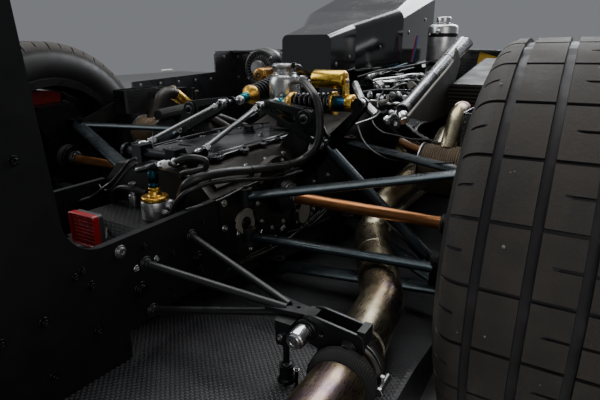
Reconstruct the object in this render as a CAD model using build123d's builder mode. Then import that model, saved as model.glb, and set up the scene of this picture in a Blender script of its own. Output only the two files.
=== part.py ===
"""Rear end assembly of a closed-wheel endurance race car.

The engine, bellhousing and gearbox form the car's spine. They carry the rear suspension, the
wheels, the exhausts, the crash structure with the wing, and the diffuser floor.
The origin is the middle of the engine's front face, where the chassis bolts on.
+X is the car's right, +Y is forward and +Z is up. All sizes are in millimetres.
Places are given as x, the distance ahead of the rear axle, and the height above the road.
"""

import os
from math import cos, radians, sin

from build123d import *

os.makedirs("parts", exist_ok=True)

# Where the rear end sits on the car
AXLE_TO_FACE = 1150.0  # from the rear axle forward to the engine's front face
FACE_HEIGHT = 330.0  # from the road to the middle of that face
RUN = 0.3  # running gap round pins and shafts
SEAT = 0.4  # gap between a piece and a slanting or round seat
SAFE = 6.0  # gap between what turns and what stands still

# Wheel and tyre
TRACK_HALF = 812.0  # from the middle of the car to the middle of the tyre
TYRE_R = 355.0
TYRE_WIDTH = 355.0
TYRE_WALL = 15.0
TYRE_SHOULDER = 34.0
GROOVE_WIDTH = 13.0
GROOVE_DEPTH = 7.0
GROOVE_PITCH = 60.0
GROOVE_COUNT = 5
RIM_SEAT_R = 228.0
RIM_FLANGE_R = RIM_SEAT_R + 15.0
RIM_WIDTH = 340.0
RIM_WALL = 6.0
SPOKE_COUNT = 10
HUB_NUT_R = 38.0
DISC_R = RIM_SEAT_R - 42.0
DISC_THICK = 34.0
DISC_FROM_WHEEL = 62.0  # middle of the disc inboard of the middle of the tyre
BELL_R = 88.0
HUB_SHAFT_R = 42.0
SHAFT_R = 13.0
JOINT_R = 50.0
STUB_R = 30.0

# Engine: a vee with its banks at 45 degrees
ENGINE_LENGTH = 590.0
SUMP_HALF = 150.0
SUMP_HEIGHT = 95.0
CRANKCASE_HALF = 185.0
CRANK_HEIGHT = 230.0
BANK_ANGLE = 45.0
BANK_REACH = 330.0  # from the crank to the top of the head
BANK_WIDTH = 170.0
STUD_X = 300.0
STUD_Z = 290.0
STUD_HOLE_R = 6.2
STUD_DEPTH = 45.0
CAM_COVER_HEIGHT = 38.0
CAM_COVER_WIDTH = 150.0
CAM_COVER_END = 32.0
COIL_R = 19.0
COIL_COUNT = 4
PLENUM_LENGTH = 380.0
PLENUM_HALF = 100.0
PLENUM_FOOT = 30.0

# Bellhousing and gearbox
BELL_LENGTH = 230.0
BELL_HALF = 190.0
BELL_TOP = 500.0
BELL_BOTTOM = 90.0
CASE_HALF = 158.0
CASE_TOP = 455.0
CASE_TOP_HALF = 112.0
CASE_REAR = -220.0
COVER_HALF = 100.0
COVER_THICK = 9.0
COVER_REAR = -150.0
COVER_FRONT = 300.0
OUTPUT_R = 92.0
OUTPUT_PROUD = 16.0

# Floor: height of its upper skin at stations from the face to the trailing edge
FLOOR_SKIN = 8.0
FLOOR_HALF = 985.0
TUNNEL_HALF = 606.0
FLOOR_LINE = (  # ahead, height
    (450.0, 62.0),
    (100.0, 110.0),
    (-270.0, 172.0),
    (-740.0, 202.0),
)

# Suspension points on the right side: x, ahead, height
UPPER_OUT = (605.0, 40.0, 455.0)
UPPER_REAR = (173.0, -125.0, 383.0)
UPPER_FRONT = (188.0, 400.0, 412.0)
LOWER_OUT = (600.0, 50.0, 186.0)
LOWER_REAR = (173.0, 10.0, 162.0)
LOWER_FRONT = (188.0, 400.0, 160.0)
TOE_IN = (173.0, -115.0, 287.0)
TOE_OUT = (588.0, -62.0, 285.0)
PUSH_TOP = (234.0, 128.0, 461.0)
PUSH_LOW = (558.0, 55.0, 228.0)
ROCKER_PIVOT = (188.0, 128.0, 523.0)
ROCKER_TIP = (62.0, 128.0, 549.0)
DAMPER_AHEAD = 180.0  # the damper's eye sits on the pin ahead of the rocker's plates
DAMPER_RIGHT = ((ROCKER_TIP[0], DAMPER_AHEAD, ROCKER_TIP[2]), (306.0, DAMPER_AHEAD, 560.0))
DAMPER_LEFT = ((-ROCKER_TIP[0], DAMPER_AHEAD, ROCKER_TIP[2]), (-52.0, 420.0, 598.0))
DAMPER_POST_GAP = 22.0
DAMPER_POST = 7.0
ARM_WIDTH = 44.0
ARM_THICK = 17.0
EYE_R = 15.0
EYE_HEIGHT = 24.0
PIN_R = 6.0
LUG_THICK = 7.0
UPRIGHT_X = 626.0
UPRIGHT_THICK = 62.0


def spot(x, ahead, height):
    """A point of the car in the part's own frame."""
    return Vector(x, ahead - AXLE_TO_FACE, height - FACE_HEIGHT)


def cross_plane(ahead):
    """Seen from behind: x is the car's x, y the height. It extrudes rearward."""
    return Plane(origin=spot(0, ahead, 0), x_dir=(1, 0, 0), z_dir=(0, -1, 0))


def side_plane(x):
    """Seen from the right: x is the distance ahead, y the height. It extrudes to the right."""
    return Plane(origin=spot(x, 0, 0), x_dir=(0, 1, 0), z_dir=(1, 0, 0))


def level_plane(height):
    """Seen from above: x is the car's x, y the distance ahead. It extrudes upward."""
    return Plane(origin=spot(0, 0, height), x_dir=(1, 0, 0), z_dir=(0, 0, 1))


def floor_height(ahead):
    """Height of the floor's upper skin at a distance ahead of the axle."""
    for (front, high), (rear, low) in zip(FLOOR_LINE, FLOOR_LINE[1:]):
        if ahead >= rear:
            return low + (high - low) * (ahead - rear) / (front - rear)
    return FLOOR_LINE[-1][1]


def mirrored(point):
    """The same point on the other side of the car."""
    return (-point[0], point[1], point[2])


def bar(start, end, radius, mode=Mode.ADD):
    """A round bar between two points of the car."""
    first = spot(*start)
    run = spot(*end) - first
    with BuildSketch(Plane(origin=first, z_dir=run)) as section:
        Circle(radius)
    extrude(section.sketch, amount=run.length, mode=mode)


def blade(start, end, width, thick, skip=13.0):
    """A flat arm between two points, its wide side level, that starts and ends skip inside them."""
    first = spot(*start)
    run = spot(*end) - first
    across = run.cross(Vector(0, 0, 1))
    origin = first + run.normalized() * skip
    with BuildSketch(Plane(origin=origin, x_dir=across, z_dir=run)) as section:
        Ellipse(width / 2, thick / 2)
    extrude(section.sketch, amount=run.length - 2 * skip)


def eye(point, axis=(0, 0, 1), radius=EYE_R, height=EYE_HEIGHT - 2 * RUN):
    """The round end of an arm, centred on a point."""
    along = Vector(*axis)
    origin = spot(*point) - along * (height / 2)
    with BuildSketch(Plane(origin=origin, z_dir=along)) as section:
        Circle(radius)
    extrude(section.sketch, amount=height)


def eye_hole(point, axis=(0, 0, 1), radius=PIN_R + RUN, height=EYE_HEIGHT * 2):
    """The hole for the pin through an eye."""
    along = Vector(*axis)
    origin = spot(*point) - along * (height / 2)
    with BuildSketch(Plane(origin=origin, z_dir=along)) as section:
        Circle(radius)
    extrude(section.sketch, amount=height, mode=Mode.SUBTRACT)


def clevis(point, wall, radius=EYE_R):
    """Two level lugs from a wall at x to a point, with the pin between them."""
    x, ahead, height = point
    for low in (height - EYE_HEIGHT / 2 - LUG_THICK, height + EYE_HEIGHT / 2):
        with BuildSketch(level_plane(low)) as lug:
            with Locations((x, ahead)):
                Circle(radius)
            with Locations(((x + wall) / 2, ahead)):
                Rectangle(abs(x - wall), 2 * radius)
        extrude(lug.sketch, amount=LUG_THICK)
    reach = EYE_HEIGHT / 2 + LUG_THICK + 6.0
    bar((x, ahead, height - reach), (x, ahead, height + reach), PIN_R)


def pipe(points, radii, outer, wall):
    """A tube along straight runs joined by arcs, through points of the car."""
    with BuildLine() as path:
        FilletPolyline(*[spot(*p) for p in points], radius=radii)
    start = Plane(origin=path.line @ 0, z_dir=path.line % 0)
    with BuildSketch(start) as section:
        Circle(outer)
        if wall:
            Circle(outer - wall, mode=Mode.SUBTRACT)
    sweep(section.sketch, path=path.line)


def finish(name, piece):
    """Label a piece and write it to its own file."""
    piece.part.label = name
    export_step(piece.part, f"parts/{name}.step")


def finish_pair(name, right):
    """Write a right-hand piece and its mirror image for the left."""
    finish(f"{name}_right", right)
    with BuildPart() as left:
        mirror(right.part, about=Plane.YZ)
    finish(f"{name}_left", left)


def finish_both(name, right):
    """Write a right-hand piece and its mirror image as two solids of one node."""
    with BuildPart() as both:
        add(right.part)
        mirror(right.part, about=Plane.YZ)
    finish(name, both)


# Engine block, with the chassis mounting face
BANK_RUN = Vector(sin(radians(BANK_ANGLE)), cos(radians(BANK_ANGLE)))
BANK_SIDE = Vector(cos(radians(BANK_ANGLE)), -sin(radians(BANK_ANGLE)))
HEAD_TOP = Vector(0, CRANK_HEIGHT) + BANK_RUN * BANK_REACH
HEAD_OUTER = HEAD_TOP + BANK_SIDE * (BANK_WIDTH / 2)
HEAD_INNER = HEAD_TOP - BANK_SIDE * (BANK_WIDTH / 2)
SHOULDER_HEIGHT = HEAD_OUTER.Y - (HEAD_OUTER.X - CRANKCASE_HALF)
VALLEY_HEIGHT = HEAD_INNER.Y - HEAD_INNER.X
ENGINE_REAR = AXLE_TO_FACE - ENGINE_LENGTH

with BuildPart() as engine_block:
    with BuildSketch(cross_plane(AXLE_TO_FACE)):
        with BuildLine():
            Polyline(
                (0, SUMP_HEIGHT),
                (SUMP_HALF, SUMP_HEIGHT),
                (CRANKCASE_HALF, SUMP_HEIGHT + 40),
                (CRANKCASE_HALF, SHOULDER_HEIGHT),
                (HEAD_OUTER.X, HEAD_OUTER.Y),
                (HEAD_INNER.X, HEAD_INNER.Y),
                (0, VALLEY_HEIGHT),
            )
            mirror(about=Plane.YZ)
        make_face()
    extrude(amount=ENGINE_LENGTH)
    with BuildSketch(cross_plane(AXLE_TO_FACE)):
        with Locations((0, FACE_HEIGHT)):
            with GridLocations(STUD_X, STUD_Z, 2, 2):
                Circle(STUD_HOLE_R)
    extrude(amount=STUD_DEPTH, mode=Mode.SUBTRACT)
finish("engine_block", engine_block)

# Cam covers, one on each bank, with the ignition coils in a row
COVER_LENGTH = ENGINE_LENGTH - 2 * CAM_COVER_END
ENGINE_MIDDLE = AXLE_TO_FACE - ENGINE_LENGTH / 2
with BuildPart() as cam_covers:
    for side in (1, -1):
        bank_top = Plane(
            origin=spot(side * HEAD_TOP.X, ENGINE_MIDDLE, HEAD_TOP.Y),
            x_dir=(0, 1, 0),
            z_dir=(side * BANK_RUN.X, 0, BANK_RUN.Y),
        )
        with BuildSketch(bank_top):
            RectangleRounded(COVER_LENGTH, CAM_COVER_WIDTH, 24)
        extrude(amount=CAM_COVER_HEIGHT, taper=8)
        with BuildSketch(bank_top.offset(CAM_COVER_HEIGHT - 1)):
            with GridLocations(COVER_LENGTH / COIL_COUNT, 0, COIL_COUNT, 1):
                Circle(COIL_R)
        extrude(amount=13)
finish("cam_covers", cam_covers)

# Airbox over the engine's valley, wider and taller towards the chassis
AIRBOX_SECTIONS = (  # ahead, half width, bottom, top, corner radius
    (450.0, 88.0, 604.0, 728.0, 20.0),
    (600.0, 104.0, 598.0, 762.0, 24.0),
    (800.0, 196.0, 592.0, 816.0, 34.0),
    (AXLE_TO_FACE, 205.0, 596.0, 930.0, 60.0),
)
with BuildPart() as airbox:
    for ahead, half, low, high, corner in AIRBOX_SECTIONS:
        with BuildSketch(cross_plane(ahead)):
            with Locations((0, (low + high) / 2)):
                RectangleRounded(2 * half, high - low, corner)
    loft(ruled=True)
    with BuildSketch(cross_plane(ENGINE_MIDDLE + PLENUM_LENGTH / 2)):
        with BuildLine():
            Polyline(
                (0, VALLEY_HEIGHT + PLENUM_FOOT + SEAT),
                (PLENUM_FOOT, VALLEY_HEIGHT + PLENUM_FOOT + SEAT),
                (PLENUM_HALF, VALLEY_HEIGHT + PLENUM_HALF + SEAT),
                (PLENUM_HALF, AIRBOX_SECTIONS[0][2] + 20),
                (0, AIRBOX_SECTIONS[0][2] + 20),
            )
            mirror(about=Plane.YZ)
        make_face()
    extrude(amount=PLENUM_LENGTH)
finish("airbox", airbox)

# Bellhousing between engine and gearbox
BELL_REAR = ENGINE_REAR - BELL_LENGTH
with BuildPart() as bellhousing:
    with BuildSketch(cross_plane(ENGINE_REAR)):
        with Locations((0, (BELL_BOTTOM + BELL_TOP) / 2)):
            RectangleRounded(2 * BELL_HALF, BELL_TOP - BELL_BOTTOM, 60)
    with BuildSketch(cross_plane(BELL_REAR)):
        with Locations((0, (BELL_BOTTOM + 20 + CASE_TOP) / 2)):
            RectangleRounded(2 * CASE_HALF, CASE_TOP - BELL_BOTTOM - 20, 40)
    loft(ruled=True)
    for point in (UPPER_FRONT, LOWER_FRONT):
        clevis(point, CASE_HALF)
        clevis(mirrored(point), -CASE_HALF)
    post_x, post_ahead, post_height = DAMPER_LEFT[1]
    for low_x in (post_x - DAMPER_POST_GAP / 2 - DAMPER_POST, post_x + DAMPER_POST_GAP / 2):
        with BuildSketch(side_plane(low_x)) as post:
            with BuildLine():
                Polyline(
                    (post_ahead - 22, CASE_TOP + 6),
                    (post_ahead - 8, post_height),
                    (post_ahead + 12, post_height),
                    (post_ahead + 32, CASE_TOP + 6),
                    close=True,
                )
            make_face()
            with Locations((post_ahead, post_height)):
                Circle(12)
        extrude(post.sketch, amount=DAMPER_POST)
    reach = DAMPER_POST_GAP / 2 + DAMPER_POST + 4
    bar((post_x - reach, post_ahead, post_height), (post_x + reach, post_ahead, post_height), PIN_R)
finish("bellhousing", bellhousing)

# Gearbox case, with the output bosses, lugs and the rocker posts
CASE_BOTTOM = ((BELL_REAR, 112.0), (CASE_REAR, 212.0))
ROCKER_GAP = 24.0
POST_THICK = 16.0
with BuildPart() as gearbox_case:
    with BuildSketch(side_plane(-CASE_HALF)):
        with BuildLine():
            Polyline(
                CASE_BOTTOM[0],
                (BELL_REAR, CASE_TOP),
                (CASE_REAR, CASE_TOP - 10),
                CASE_BOTTOM[1],
                close=True,
            )
        make_face()
    extrude(amount=2 * CASE_HALF)
    top_edges = gearbox_case.edges().filter_by(Axis.Y, tolerance=5).group_by(Axis.Z)[-1]
    chamfer(top_edges, CASE_HALF - CASE_TOP_HALF)
    with BuildSketch(side_plane(CASE_HALF - 1)):
        with Locations((0, TYRE_R)):
            Circle(OUTPUT_R)
    extrude(amount=OUTPUT_PROUD + 1)
    with BuildSketch(side_plane(-CASE_HALF + 1)):
        with Locations((0, TYRE_R)):
            Circle(OUTPUT_R)
    extrude(amount=-OUTPUT_PROUD - 1)
    bore_end = CASE_HALF + OUTPUT_PROUD + 1
    for side in (1, -1):
        bar((side * (bore_end - 60), 0, TYRE_R), (side * bore_end, 0, TYRE_R), STUB_R + RUN, Mode.SUBTRACT)
    for point in (UPPER_REAR, LOWER_REAR, TOE_IN):
        clevis(point, CASE_HALF - 8)
        clevis(mirrored(point), -CASE_HALF + 8)
    for side in (1, -1):
        pivot_x, pivot_ahead, pivot_height = ROCKER_PIVOT
        with BuildSketch(cross_plane(pivot_ahead + POST_THICK / 2)) as post:
            with BuildLine():
                Polyline(
                    (side * 100, CASE_TOP - 20),
                    (side * (pivot_x - 22), pivot_height),
                    (side * (pivot_x + 22), pivot_height),
                    (side * (CASE_HALF - 6), CASE_TOP - 110),
                    (side * 100, CASE_TOP - 110),
                    close=True,
                )
            make_face()
            with Locations((side * pivot_x, pivot_height)):
                Circle(22)
        extrude(post.sketch, amount=POST_THICK)
        eye_hole((side * pivot_x, pivot_ahead, pivot_height), (0, 1, 0), 10 + RUN, 60)
finish("gearbox_case", gearbox_case)

# Top cover of the gearbox
with BuildPart() as gearbox_cover:
    with BuildSketch(level_plane(CASE_TOP)):
        with Locations((0, (COVER_FRONT + COVER_REAR) / 2)):
            RectangleRounded(2 * COVER_HALF, COVER_FRONT - COVER_REAR, 34)
    extrude(amount=COVER_THICK)
finish("gearbox_cover", gearbox_cover)

# Rocker plates on each side, with the pins for the pushrod, the damper and the roll bar link
PLATE_THICK = 6.0
PLATE_HOLE_R = 9.0
TIP_R = 14.0
PIVOT_R = 24.0
LINK_AHEAD = 95.0  # the roll bar link hangs on the pin behind the plates
with BuildPart() as rocker:
    tip_x, middle, tip_height = ROCKER_TIP
    pivot_x, _, pivot_height = ROCKER_PIVOT
    push_x, _, push_height = PUSH_TOP
    for rear in (middle - ROCKER_GAP / 2 - PLATE_THICK, middle + ROCKER_GAP / 2):
        with BuildSketch(cross_plane(rear + PLATE_THICK)) as plate:
            with BuildLine():
                Polyline(
                    (tip_x - 3, tip_height + TIP_R - 1),
                    (pivot_x + 4, pivot_height + PIVOT_R),
                    (push_x + TIP_R, push_height + 2),
                    (push_x - TIP_R, push_height - 3),
                    (pivot_x - 10, pivot_height - PIVOT_R + 2),
                    (tip_x - 2, tip_height - TIP_R + 1),
                    close=True,
                )
            make_face()
            with Locations((tip_x, tip_height), (push_x, push_height)):
                Circle(TIP_R)
            with Locations((pivot_x, pivot_height)):
                Circle(PIVOT_R)
            with Locations((pivot_x - 42, pivot_height + 8), (pivot_x - 72, pivot_height + 15)):
                Circle(PLATE_HOLE_R, mode=Mode.SUBTRACT)
        extrude(plate.sketch, amount=PLATE_THICK)
    front = middle + ROCKER_GAP / 2 + PLATE_THICK
    rear = middle - ROCKER_GAP / 2 - PLATE_THICK
    bar((pivot_x, rear - 5, pivot_height), (pivot_x, front + 5, pivot_height), 10)
    bar((push_x, rear - 4, push_height), (push_x, front + 4, push_height), PIN_R)
    bar((tip_x, LINK_AHEAD - 16, tip_height), (tip_x, DAMPER_AHEAD + 16, tip_height), PIN_R)
finish_both("rockers", rocker)

# Wishbones: two flat legs that meet at the upright
with BuildPart() as upper_wishbone:
    for inner in (UPPER_REAR, UPPER_FRONT):
        blade(inner, UPPER_OUT, ARM_WIDTH, ARM_THICK)
        eye(inner)
    eye(UPPER_OUT, radius=EYE_R + 4)
    for point in (UPPER_REAR, UPPER_FRONT, UPPER_OUT):
        eye_hole(point)
finish_pair("upper_wishbone", upper_wishbone)

FORK_THICK = 6.0
FORK_GAP = 20.0
with BuildPart() as lower_wishbone:
    for inner in (LOWER_REAR, LOWER_FRONT):
        blade(inner, LOWER_OUT, ARM_WIDTH + 10, ARM_THICK)
        eye(inner)
    eye(LOWER_OUT, radius=EYE_R + 4)
    low_x, low_ahead, low_height = PUSH_LOW
    for rear in (low_ahead - FORK_GAP / 2 - FORK_THICK, low_ahead + FORK_GAP / 2):
        with BuildSketch(cross_plane(rear + FORK_THICK)) as ear:
            with Locations((low_x, low_height)):
                Circle(TIP_R)
            with Locations((low_x, (low_height + LOWER_OUT[2]) / 2)):
                Rectangle(2 * TIP_R, low_height - LOWER_OUT[2])
        extrude(ear.sketch, amount=FORK_THICK)
    reach = FORK_GAP / 2 + FORK_THICK + 4
    bar((low_x, low_ahead - reach, low_height), (low_x, low_ahead + reach, low_height), PIN_R)
    for point in (LOWER_REAR, LOWER_FRONT, LOWER_OUT):
        eye_hole(point)
finish_pair("lower_wishbone", lower_wishbone)

# Toe link and pushrod
with BuildPart() as toe_link:
    blade(TOE_IN, TOE_OUT, 34, 18)
    for point in (TOE_IN, TOE_OUT):
        eye(point)
        eye_hole(point)
finish_both("toe_links", toe_link)

ROD_END_R = 13.0
PUSH_R = 15.0
PUSH_NECK = 34.0
with BuildPart() as pushrod:
    run = (Vector(*PUSH_TOP) - Vector(*PUSH_LOW)).normalized()
    low_shoulder = Vector(*PUSH_LOW) + run * PUSH_NECK
    high_shoulder = Vector(*PUSH_TOP) - run * PUSH_NECK
    bar(PUSH_LOW, PUSH_TOP, 7.0)
    bar(tuple(low_shoulder), tuple(high_shoulder), PUSH_R)
    for point in (PUSH_TOP, PUSH_LOW):
        eye(point, (0, 1, 0), ROD_END_R, FORK_GAP - 2)
        eye_hole(point, (0, 1, 0))
finish_both("pushrods", pushrod)

# Upright inside each wheel, with the bearing for the hub and the arms' lugs
UPRIGHT_CORNER = 14.0
UPRIGHT_OUTLINE = (  # ahead, height
    (-42, 205),
    (62, 175),
    (88, 215),
    (80, 330),
    (76, 468),
    (50, 524),
    (-74, 518),
    (-80, 470),
    (-52, 420),
    (-74, 300),
)
with BuildPart() as upright:
    with BuildSketch(side_plane(UPRIGHT_X)):
        with BuildLine():
            Polyline(*UPRIGHT_OUTLINE, close=True)
        make_face()
        fillet(vertices(), UPRIGHT_CORNER)
    extrude(amount=UPRIGHT_THICK)
    for point in (UPPER_OUT, LOWER_OUT, TOE_OUT):
        clevis(point, UPRIGHT_X + 6, EYE_R + 4)
    bar((UPRIGHT_X - 8, 0, TYRE_R), (UPRIGHT_X + UPRIGHT_THICK + 8, 0, TYRE_R), 72)
    hub_from = (UPRIGHT_X - 20, 0, TYRE_R)
    hub_to = (UPRIGHT_X + UPRIGHT_THICK + 20, 0, TYRE_R)
    bar(hub_from, hub_to, HUB_SHAFT_R + RUN, Mode.SUBTRACT)
finish_pair("upright", upright)

# Wheel bodies: tyre, rim, hub with brake disc, and driveshaft, all turning together
WHEEL_AXIS = Axis(spot(0, 0, TYRE_R), (1, 0, 0))


def wheel_plane():
    """Seen from behind with x from the middle of the tyre outward and y from the wheel's axis up."""
    return Plane(origin=spot(TRACK_HALF, 0, TYRE_R), x_dir=(1, 0, 0), z_dir=(0, -1, 0))


with BuildPart() as tyre:
    with BuildSketch(wheel_plane()):
        half = TYRE_WIDTH / 2
        seat = RIM_WIDTH / 2 - RIM_WALL - SEAT
        with BuildLine():
            Polyline(
                (seat - 22, RIM_SEAT_R + SEAT),
                (seat, RIM_SEAT_R + SEAT),
                (seat, RIM_FLANGE_R + 4),
            )
            ThreePointArc(
                (seat, RIM_FLANGE_R + 4),
                (half, (RIM_FLANGE_R + TYRE_R) / 2),
                (half - 10, TYRE_R - TYRE_SHOULDER),
            )
            ThreePointArc(
                (half - 10, TYRE_R - TYRE_SHOULDER),
                (half - 20, TYRE_R - 11),
                (half - 42, TYRE_R - 2),
            )
            ThreePointArc((half - 42, TYRE_R - 2), (0, TYRE_R), (-half + 42, TYRE_R - 2))
            ThreePointArc(
                (-half + 42, TYRE_R - 2),
                (-half + 20, TYRE_R - 11),
                (-half + 10, TYRE_R - TYRE_SHOULDER),
            )
            ThreePointArc(
                (-half + 10, TYRE_R - TYRE_SHOULDER),
                (-half, (RIM_FLANGE_R + TYRE_R) / 2),
                (-seat, RIM_FLANGE_R + 4),
            )
            Polyline(
                (-seat, RIM_FLANGE_R + 4),
                (-seat, RIM_SEAT_R + SEAT),
                (-seat + 22, RIM_SEAT_R + SEAT),
                (-half + 24, RIM_FLANGE_R + 30),
                (-half + 34, TYRE_R - TYRE_WALL - 10),
                (half - 34, TYRE_R - TYRE_WALL - 10),
                (half - 24, RIM_FLANGE_R + 30),
                (seat - 22, RIM_SEAT_R + SEAT),
            )
        make_face()
        with Locations((0, TYRE_R)):
            with GridLocations(GROOVE_PITCH, 0, GROOVE_COUNT, 1):
                Rectangle(GROOVE_WIDTH, 2 * GROOVE_DEPTH, mode=Mode.SUBTRACT)
    revolve(axis=WHEEL_AXIS)
finish_pair("tyre", tyre)

# Rim: rolled barrel with a deep well, and a spoked face near its outer side
SPOKE_FACE = 118.0  # outer face of the spokes, outboard of the middle of the tyre
SPOKE_THICK = 30.0
SPOKE_WIDTH = 26.0
RIM_CENTRE_R = 72.0
with BuildPart() as rim:
    with BuildSketch(wheel_plane()):
        edge = RIM_WIDTH / 2
        with BuildLine():
            Polyline(
                (-edge, RIM_FLANGE_R),
                (-edge + RIM_WALL, RIM_FLANGE_R),
                (-edge + RIM_WALL, RIM_SEAT_R),
                (-edge + 44, RIM_SEAT_R),
                (-edge + 64, RIM_SEAT_R - 12),
                (edge - 64, RIM_SEAT_R - 12),
                (edge - 44, RIM_SEAT_R),
                (edge - RIM_WALL, RIM_SEAT_R),
                (edge - RIM_WALL, RIM_FLANGE_R),
                (edge, RIM_FLANGE_R),
                (edge, RIM_SEAT_R - RIM_WALL),
                (edge - 44, RIM_SEAT_R - RIM_WALL),
                (edge - 64, RIM_SEAT_R - RIM_WALL - 12),
                (-edge + 64, RIM_SEAT_R - RIM_WALL - 12),
                (-edge + 44, RIM_SEAT_R - RIM_WALL),
                (-edge, RIM_SEAT_R - RIM_WALL),
                close=True,
            )
        make_face()
    revolve(axis=WHEEL_AXIS)
    face_at = spot(TRACK_HALF + SPOKE_FACE - SPOKE_THICK, 0, TYRE_R)
    with BuildSketch(Plane(origin=face_at, x_dir=(0, 1, 0), z_dir=(1, 0, 0))):
        Circle(RIM_CENTRE_R)
        with PolarLocations((RIM_CENTRE_R + RIM_SEAT_R) / 2 - 8, SPOKE_COUNT):
            Rectangle(RIM_SEAT_R - RIM_CENTRE_R + 10, SPOKE_WIDTH)
        Circle(HUB_SHAFT_R - 6 + SEAT, mode=Mode.SUBTRACT)
    extrude(amount=SPOKE_THICK)
finish_pair("rim", rim)

# Hub shaft with the brake disc and the centre nut
HUB_INNER = UPRIGHT_X - 30.0
HUB_FLANGE_R = 70.0
with BuildPart() as brake_disc:
    disc_x = TRACK_HALF - DISC_FROM_WHEEL
    flange_x = TRACK_HALF + SPOKE_FACE - SPOKE_THICK
    bar((HUB_INNER, 0, TYRE_R), (flange_x, 0, TYRE_R), HUB_SHAFT_R)
    bar((flange_x - 16, 0, TYRE_R), (flange_x, 0, TYRE_R), HUB_FLANGE_R)
    bar((flange_x, 0, TYRE_R), (flange_x + SPOKE_THICK + 4, 0, TYRE_R), HUB_SHAFT_R - 6)
    bar((flange_x + SPOKE_THICK, 0, TYRE_R), (flange_x + SPOKE_THICK + 26, 0, TYRE_R), HUB_NUT_R + 8)
    bar((disc_x - DISC_THICK / 2, 0, TYRE_R), (disc_x + DISC_THICK / 2, 0, TYRE_R), DISC_R)
    bar((disc_x - DISC_THICK / 2 - 1, 0, TYRE_R), (disc_x - 6, 0, TYRE_R), BELL_R + 22, Mode.SUBTRACT)
    bar((disc_x - 6, 0, TYRE_R), (HUB_INNER, 0, TYRE_R), HUB_SHAFT_R)
finish_pair("brake_disc", brake_disc)

# Driveshaft from the gearbox output to the hub
STUB_START = CASE_HALF - 34.0
JOINT_LONG = 44.0
BOOT_LONG = 26.0
BOOT_R = 30.0
with BuildPart() as driveshaft:
    joint_in = CASE_HALF + OUTPUT_PROUD + SAFE
    bar((STUB_START, 0, TYRE_R), (joint_in + 2, 0, TYRE_R), STUB_R)
    bar((joint_in, 0, TYRE_R), (joint_in + JOINT_LONG, 0, TYRE_R), JOINT_R)
    with BuildSketch(Plane(origin=spot(joint_in + JOINT_LONG, 0, TYRE_R), z_dir=(1, 0, 0))):
        Circle(JOINT_R - 6)
    extrude(amount=34, taper=38)
    bar((joint_in + JOINT_LONG, 0, TYRE_R), (HUB_INNER - BOOT_LONG, 0, TYRE_R), SHAFT_R)
    bar((HUB_INNER - BOOT_LONG - 2, 0, TYRE_R), (HUB_INNER - 10, 0, TYRE_R), BOOT_R)
    bar((HUB_INNER - 12, 0, TYRE_R), (HUB_INNER, 0, TYRE_R), HUB_SHAFT_R)
finish_pair("driveshaft", driveshaft)

# Brake caliper on top of each disc, bolted to the upright
CALIPER_GAP = 6.0
CALIPER_TURN = (72.0, 128.0)  # where it starts and ends round the disc, from straight ahead
CALIPER_BOLTS = (84.0, 114.0)
CALIPER_BOLT_REACH = DISC_R - 36.0
CALIPER_OUTER_R = DISC_R + 18.0
CALIPER_INNER_R = DISC_R - 68.0
with BuildPart() as caliper:
    inner_x = disc_x - DISC_THICK / 2 - CALIPER_GAP - 26
    width = DISC_THICK + 2 * CALIPER_GAP + 52
    turn_from, turn_to = CALIPER_TURN
    plane = Plane(origin=spot(inner_x, 0, TYRE_R), x_dir=(0, 1, 0), z_dir=(1, 0, 0))
    with BuildSketch(plane):
        with BuildLine():
            outer = CenterArc((0, 0), CALIPER_OUTER_R, turn_from, turn_to - turn_from)
            inner = CenterArc((0, 0), CALIPER_INNER_R, turn_from, turn_to - turn_from)
            Line(outer @ 0, inner @ 0)
            Line(outer @ 1, inner @ 1)
        make_face()
    extrude(amount=width)
    with BuildSketch(plane.offset(26)):
        Circle(DISC_R + CALIPER_GAP)
    extrude(amount=DISC_THICK + 2 * CALIPER_GAP, mode=Mode.SUBTRACT)
    for turn in CALIPER_BOLTS:
        ahead = CALIPER_BOLT_REACH * cos(radians(turn))
        height = TYRE_R + CALIPER_BOLT_REACH * sin(radians(turn))
        bar((UPRIGHT_X + UPRIGHT_THICK, ahead, height), (inner_x + 1, ahead, height), 12)
finish_both("calipers", caliper)

# Dampers: an eye on the rocker's pin, spring seats, spring, adjuster ring, body and end cap
DAMPER_R = 21.0
SEAT_R = 29.0
SPRING_R = 27.0
RESERVOIR_R = 23.0
RESERVOIR_LEFT = ((-104.0, 334.0, 607.0), (-102.0, 402.0, 610.0))
DAMPER_STEPS = (  # from, to as distances from the first eye, radius
    (10.0, 36.0, 14.0),
    (34.0, 46.0, SEAT_R - 8),
    (46.0, 60.0, SEAT_R),
    (60.0, 166.0, 17.0),
    (162.0, 178.0, SEAT_R + 1),
    (178.0, 212.0, DAMPER_R),
    (212.0, 228.0, DAMPER_R + 1),
)
SPRING_FROM = 60.0 + RUN
SPRING_TO = 162.0 - RUN


def between(start, end, distance):
    """The point that lies a distance along the line from start to end."""
    run = (Vector(*end) - Vector(*start)).normalized()
    return tuple(Vector(*start) + run * distance)


def damper_body(start, end):
    """The stepped body of a damper between its two eyes."""
    for near, far, radius in DAMPER_STEPS:
        bar(between(start, end, near), between(start, end, far), radius)
    span = (Vector(*end) - Vector(*start)).length
    bar(between(start, end, 220), between(start, end, span), 9)


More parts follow.
